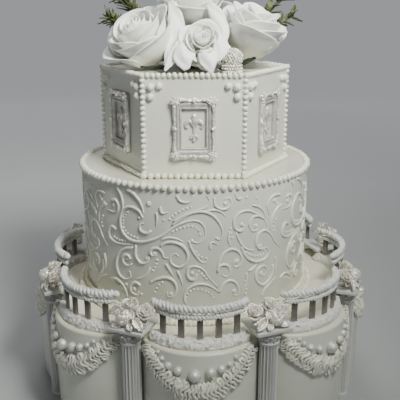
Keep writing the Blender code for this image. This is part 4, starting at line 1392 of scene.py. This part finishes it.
def spray_skin(seed, hand):
    """A round bud, two small roses and veined leaves on the frame of a plate: -Y outwards, foot at
    z = 0. hand mirrors the spray."""
    skin = Skin()
    draw = random.Random(seed)

    def matrix_at(place, direction):
        spot = Vector((place[0] * hand, place[1], place[2]))
        facing = Vector((direction[0] * hand, direction[1], direction[2]))
        return Matrix.Translation(spot) @ facing.to_track_quat("Z", "Y").to_matrix().to_4x4()

    # Tones are low deep in the flowers, along the leaves' midribs and at the foot, where the crease colour
    # paints shade
    # The bud: hugging petals over a ball
    bud = matrix_at((-0.0040, -0.0060, 0.0082), (-0.15, -0.45, 0.88))
    add_ball(skin, bud @ Vector((0.0, 0.0, 0.0)), (0.0080, 0.0080, 0.0074), 12, 18, bud.to_quaternion(), 0.55)
    for count, foot, lip, low, high, spread, curl, shift in (
        (3, 0.0070, 0.0088, -0.0030, 0.0058, 1.25, -0.0030, 0.0),
        (3, 0.0066, 0.0076, 0.0000, 0.0086, 1.15, -0.0034, 0.5),
        (3, 0.0040, 0.0052, 0.0040, 0.0100, 1.15, -0.0022, 0.2),
        (3, 0.0020, 0.0026, 0.0050, 0.0104, 1.2, -0.0006, 0.7),
    ):
        for k in range(count):
            turn = math.tau * (k + shift) / count + draw.uniform(-0.1, 0.1)
            add_petal(skin, bud, turn, foot, lip, low, high, spread, curl, 0.0002, PETAL_THICK, 8, 9,
                      draw=draw, tone_low=0.35, tone_high=1.0)
    for place, direction, radius in (
        ((0.0166, -0.0005, 0.0150), (0.15, -0.62, 0.77), 0.0076),
        ((-0.0015, 0.0020, 0.0168), (-0.10, -0.40, 0.91), 0.0084),
    ):
        matrix = matrix_at(place, direction)
        depth = radius * 1.1
        for count, foot, lip, low, high, spread, curl, shift in (
            (4, 0.35, 1.04, 0.00, 0.58, 0.95, 0.26, 0.0), (3, 0.3, 0.72, 0.15, 0.92, 1.10, 0.20, 0.5),
            (2, 0.2, 0.40, 0.3, 1.12, 1.35, 0.10, 0.2), (2, 0.08, 0.16, 0.4, 1.10, 1.4, 0.03, 0.7),
        ):
            for k in range(count):
                turn = math.tau * (k + shift) / count + draw.uniform(-0.3, 0.3)
                add_petal(skin, matrix, turn, foot * radius, lip * radius, low * depth, high * depth,
                          spread, curl * radius, 0.05 * radius, PETAL_THICK, 7, 7, draw=draw, tone_low=0.2,
                          tone_high=1.0, point=0.22)
        add_ball(skin, matrix @ Vector((0.0, 0.0, 0.30 * depth)), radius * 0.55, 6, 8, tone=0.4)
    for x1, y1, z1, x2, y2, z2, width in SPRAY_LEAVES:
        start = Vector((x1 * hand, y1, z1)) / 1000
        along = Vector((x2 * hand, y2, z2)) / 1000 - start
        ahead = along.normalized()
        up = Vector((0.0, -0.72, 0.68))
        up = (up - ahead * up.dot(ahead)).normalized()
        turn = Matrix((ahead, up.cross(ahead), up)).transposed().to_4x4()
        place = Matrix.Translation(start) @ turn @ Matrix.Rotation(draw.uniform(-0.3, 0.3), 4, "X")
        add_leaf(skin, place, along.length, width / 1000, 0.0009, -0.10, 0.12)
    foot = ((0.0076, 0.0), (0.0084, 0.002), (0.0084, 0.008), (0.0050, 0.0140))
    add_loft(skin, [circle(radius, height, 14) for radius, height in foot], tone=0.5)
    return skin


def corner_sprays(pearl):
    for index in range(LOBES):
        turn = pillar_angle(index)
        place = heading(turn) * (PLATE_CENTRE + 0.004) + UP * (PLATE_TOP + GAP)
        pattern = spray_skin(200 + index, 1.0 if index >= LOBES // 2 else -1.0)
        for i, point in enumerate(pattern.points):
            if point.z < 0.0 and abs(point.x) < 0.0195 and point.y > -0.0150:
                pattern.points[i] = Vector((point.x, point.y, 0.0))
        skin = pattern.placed(Matrix.Translation(place) @ Matrix.Rotation(turn, 4, "Z"))
        skin.piece(f"rose_spray_{index + 1}", pearl, "champagne_pearl", [f"spray_{index + 1}"])


def posy_leaves(green):
    """Dark leaves tucked low between the roses, round a mossy clump."""
    skin = Skin()
    clump = ((0.0200, 0.0), (0.0230, 0.006), (0.0190, 0.011), (0.0100, 0.014))
    add_loft(skin, [circle(radius, POSY_FLOOR + height, 24, UPPER_SHIFT) for radius, height in clump])
    draw = random.Random(77)
    for k in range(14):
        turn = 360.0 * k / 14 + draw.uniform(-8.0, 8.0)
        start = Vector((UPPER_SHIFT, 0.0, POSY_FLOOR + 0.0060 + draw.uniform(-0.002, 0.004)))
        matrix = (
            Matrix.Translation(start) @ Matrix.Rotation(math.radians(turn), 4, "Z")
            @ Matrix.Translation((0.018, 0.0, 0.0))
            @ Matrix.Rotation(math.radians(draw.uniform(-12, 4)), 4, "Y")
        )
        add_leaf(skin, matrix, draw.uniform(0.034, 0.046), 0.016, PETAL_THICK, -0.05, 0.05)
    for start, end, width, roll in (
        ((0.0360, -0.0640, 0.3720), (0.0560, -0.0670, 0.3850), 0.0100, 0.5),
        ((0.0200, -0.0660, 0.3720), (0.0370, -0.0720, 0.3735), 0.0075, 0.7),
        ((-0.0380, -0.0600, 0.3720), (-0.0560, -0.0640, 0.3745), 0.0080, 0.7),
        ((-0.0300, -0.0560, 0.3730), (-0.0470, -0.0650, 0.3760), 0.0080, 0.4),
    ):
        start, end = Vector(start), Vector(end)
        turn = (end - start).to_track_quat("X", "Z").to_matrix().to_4x4()
        matrix = Matrix.Translation(start) @ turn @ Matrix.Rotation(roll, 4, "X")
        add_leaf(skin, matrix, (end - start).length, width, PETAL_THICK, -0.08, 0.04)
    skin.settle(POSY_FLOOR)
    skin.piece("posy_leaves", green, "dark_leaf", ["posy_core"])


# The posy's sprigs: piece, node, foot, tip, leaves, their length and width, seed, where they begin
SPRIGS = (
    ("left_sprig", "foliage_left", (-0.040, 0.004, 0.3800), (-0.092, 0.014, 0.4500), 70, 0.0165, 0.0040,
     5, 0.45),
    ("right_sprig", "foliage_right", (0.046, 0.014, 0.3860), (0.098, 0.006, 0.4542), 16, 0.0165, 0.0068,
     9, 0.40),
    ("left_low_sprig", "foliage_left", (-0.056, 0.006, 0.3930), (-0.1035, 0.012, 0.4215), 44, 0.0140, 0.0048,
     15, 0.45),
    ("right_low_sprig", "foliage_right", (0.070, 0.010, 0.4020), (0.1030, 0.004, 0.4240), 9, 0.0150, 0.0066,
     19, 0.40),
)


def sprigs(finish):
    """Stems with leaves set along them by turns."""
    for name, node, start, end, leaves, length, width, seed, low in SPRIGS:
        skin = Skin()
        draw = random.Random(seed)
        start, end = Vector(start), Vector(end)
        bow = (end - start).cross(UP).normalized() * 0.004
        path = smooth_path([start, (start + end) / 2 + bow, end], 20)
        count = len(path) - 1
        add_tube(skin, path, [0.0012 - 0.0006 * i / count for i in range(count + 1)], 6)
        for i in range(leaves):
            share = low + (0.99 - low) * i / (leaves - 1)
            step = min(count - 1, int(share * count))
            along = (path[step + 1] - path[max(0, step - 1)]).normalized()
            out = Matrix.Rotation(i * math.radians(137.5), 3, along) @ along.orthogonal().normalized()
            direction = (out * draw.uniform(0.6, 1.0) + along * draw.uniform(0.4, 0.9)).normalized()
            turn = direction.to_track_quat("X", "Z").to_matrix().to_4x4()
            add_leaf(skin, Matrix.Translation(path[step]) @ turn, length * draw.uniform(0.75, 1.1), width,
                     PETAL_THICK, draw.uniform(-0.15, 0.15), 0.0, 7, 5)
        skin.piece(name, finish, "dark_leaf", [node])


def jewelled_bud(silver):
    """A bud crusted with small beads, with rows of beads round its foot and two wire stamens."""
    skin = Skin()
    draw = random.Random(41)
    centre = Vector((0.0325, -0.0690, 0.3845))
    rings = []
    for height, radius in ((POSY_FLOOR, 0.0082), (POSY_FLOOR + 0.003, 0.0094), (centre.z - 0.003, 0.0096),
                           (centre.z, 0.0080)):
        turns = [math.tau * k / 18 for k in range(18)]
        rings.append([Vector((math.cos(turn) * radius + centre.x, math.sin(turn) * radius * 0.85 + centre.y,
                              height)) for turn in turns])
    # The foot and the ball under the beads take low tones: painted shade under and between the beads
    add_loft(skin, rings, tone=0.25)
    add_ball(skin, centre, (0.0094, 0.0080, 0.0080), 10, 14, tone=0.2)
    total = 170
    for k in range(total):
        height = 1 - 2 * (k + 0.5) / total
        ring = math.sqrt(1 - height * height)
        turn = k * math.pi * (3 - math.sqrt(5))
        spot = Vector((ring * math.cos(turn) * 0.0102, ring * math.sin(turn) * 0.0087, height * 0.0088))
        add_ball(skin, centre + spot, draw.uniform(0.0009, 0.0016), 4, 6, tone=draw.uniform(0.6, 1.0))
    for row in range(3):
        for k in range(22):
            turn = math.tau * (k + 0.5 * row) / 22
            spot = Vector((centre.x + math.cos(turn) * 0.0098, centre.y + math.sin(turn) * 0.0083,
                           POSY_FLOOR + 0.0016 + 0.0030 * row))
            add_ball(skin, spot, draw.uniform(0.0011, 0.0016), 4, 6, tone=draw.uniform(0.5, 1.0))
    for lean in (-1, 1):
        path = smooth_path([centre + Vector(knot) for knot in (
            (-0.0060, -0.0040, 0.0030), (-0.0100, -0.0065, 0.0040 + 0.003 * lean),
            (-0.0130, -0.0070, 0.0010 + 0.006 * lean))], 6)
        add_tube(skin, path, 0.0004, 5, tone=0.9)
        add_ball(skin, path[-1], 0.0009, 5, 7, tone=1.0)
    skin.piece("jewelled_bud", silver, "silver_lustre", ["jewel_bud"])


# Light, floor and camera


def studio():
    # The floor is a wide round one that sweeps up far behind the cake on every side
    skin = Skin()
    profile = ((0.4, 0.0), (3.0, 0.0), (4.2, 0.10), (5.2, 0.45), (5.9, 1.1), (6.2, 2.0))
    points = [Vector((0.0, 0.0, 0.0))] + [p for radius, height in profile for p in circle(radius, height, 96)]
    faces = [(0, 1 + (k + 1) % 96, 1 + k) for k in range(96)]
    faces += [tuple(1 + i for i in face) for face in grid_faces(len(profile), 96, False, True)]
    skin.add(points, faces)
    floor_mesh = skin.mesh("floor")
    floor_mesh.flip_normals()
    floor = bpy.data.objects.new("floor", floor_mesh)
    bpy.context.scene.collection.objects.link(floor)
    pale, shader = finish_base("floor_pale", 0.8)
    tree = pale.node_tree
    distance = add_node(tree, "ShaderNodeVectorMath", operation="LENGTH")
    tree.links.new(add_node(tree, "ShaderNodeTexCoord").outputs["Object"], distance.inputs[0])
    total = add_node(tree, "ShaderNodeMath", {1: 0.1}, operation="MULTIPLY_ADD")
    tree.links.new(add_noise(pale, 3.0), total.inputs[0])
    tree.links.new(distance.outputs["Value"], total.inputs[2])
    tone = add_colours(pale, total.outputs[0], ((0.35, (0.43, 0.44, 0.445)), (1.0, (0.66, 0.67, 0.68))))
    tree.links.new(tone, shader.inputs["Base Color"])
    # Painted light: the floor glows, the more the further it lies from the cake, though it is no lamp
    painted_glow = add_node(tree, "ShaderNodeMapRange", {"From Min": 0.45, "From Max": 2.2, "To Max": 0.235})
    tree.links.new(distance.outputs["Value"], painted_glow.inputs["Value"])
    tree.links.new(painted_glow.outputs["Result"], shader.inputs["Emission Strength"])
    shader.inputs["Emission Color"].default_value = (0.94, 0.97, 1.0, 1.0)
    floor_mesh.materials.append(pale)
    world = bpy.data.worlds.new("studio_air")
    world.use_nodes = True
    world.node_tree.nodes["Background"].inputs["Color"].default_value = (0.120, 0.126, 0.127, 1.0)
    world.node_tree.nodes["Background"].inputs["Strength"].default_value = 1.0
    bpy.context.scene.world = world
    for name, place, target, size, power, spread, colour in (
        ("lamp", (0.30, -0.55, 0.88), (0.0, -0.06, 0.43), 0.24, 2.05, 66.0, (0.985, 1.0, 0.92)),
        ("ceiling", (0.0, -0.02, 1.6), (0.0, 0.0, 0.2), 0.6, 4.2, 180.0, (1.0, 1.0, 1.0)),
        ("rear", (-0.3, 2.5, 2.3), (0.0, 0.0, 0.2), 1.6, 4.2, 75.0, (1.0, 1.0, 1.0)),
    ):
        light = bpy.data.lights.new(name, "AREA")
        light.size, light.energy = size, power
        light.spread = math.radians(spread)
        light.color = colour
        lamp = bpy.data.objects.new(name, light)
        lamp.location = place
        lamp.rotation_euler = (Vector(target) - Vector(place)).to_track_quat("-Z", "Y").to_euler()
        bpy.context.scene.collection.objects.link(lamp)
    lens = bpy.data.cameras.new("camera")
    lens.lens = LENS
    lens.sensor_width = SENSOR
    camera = bpy.data.objects.new("camera", lens)
    camera.location = CAMERA_PLACE
    camera.rotation_euler = (math.radians(90.0 - CAMERA_DOWN), 0.0, 0.0)
    bpy.context.scene.collection.objects.link(camera)
    bpy.context.scene.camera = camera


def main():
    noise.seed_set(NOISE_SEED)
    tree = along_path_tree()
    icing = icing_finish("ivory_icing", (0.675, 0.69, 0.605), (0.61, 0.62, 0.535), (0.78, 0.745, 0.585), 0.34)
    # A darker copy of the ivory icing for the middle tier's wall: painted shade that tones the tier down
    shaded_matt_icing = icing_finish("middle_icing_shaded", (0.61, 0.625, 0.555), (0.545, 0.56, 0.49), (0.76, 0.725, 0.565), 0.36)
    # A paler copy of the icing for the piped work; on the scrollwork its paleness is a painted highlight for
    # the satin sheen of the relief
    piping = icing_finish("ivory_piping", (0.81, 0.815, 0.74), (0.74, 0.745, 0.665), (0.82, 0.78, 0.62), 0.26)
    rope = icing_finish("rope_icing", (0.76, 0.765, 0.745), (0.69, 0.695, 0.675), (0.78, 0.76, 0.70), 0.50,
                        ((900.0, 0.6, 0.0007), (300.0, 0.4, 0.0010)))
    pearl = lustre_finish("champagne_pearl", (0.92, 0.86, 0.75), (0.60, 0.535, 0.44), (0.30, 0.25, 0.195),
                          0.45, 0.34)
    bright = lustre_finish("pearl_lustre", (0.76, 0.765, 0.73), (0.60, 0.60, 0.565), (0.4, 0.4, 0.38), 0.35)
    silver = lustre_finish("silver_lustre", (0.90, 0.875, 0.84), (0.62, 0.59, 0.565), (0.34, 0.315, 0.30),
                           0.42)
    # Dark silver for the balusters: painted shade, as they stand in shadow between the ropes and the band
    shaded_slats = lustre_finish("slat_silver_shaded", (0.33, 0.31, 0.285), (0.25, 0.232, 0.212), (0.075, 0.064, 0.058),
                          0.30)
    jewel = lustre_finish("jewel_pearl", (0.95, 0.92, 0.83), (0.60, 0.55, 0.43), (0.22, 0.20, 0.15), 0.45,
                          0.22)
    bottom_wall(icing)
    swags(tree, piping)
    swag_pearls(bright)
    middle_wall(shaded_matt_icing)
    # The paler piping icing paints the relief's satin highlight
    scrollwork(tree, piping)
    middle_borders(tree, piping)
    hex_wall(icing)
    hex_borders(tree, piping)
    frames_and_lilies(silver)
    pillars(plaster_finish())
    balustrades(tree, rope, shaded_slats)
    rail_bases(rope)
    corner_sprays(pearl)
    posy_roses(silk_finish())
    posy_leaves(leaf_finish("dark_leaf", (0.006, 0.012, 0.006), (0.022, 0.036, 0.016), 0.5))
    sprigs(leaf_finish("olive_leaf", (0.050, 0.060, 0.022), (0.13, 0.145, 0.062), 0.6))
    jewelled_bud(jewel)
    studio()
    bpy.data.node_groups.remove(tree)


main()
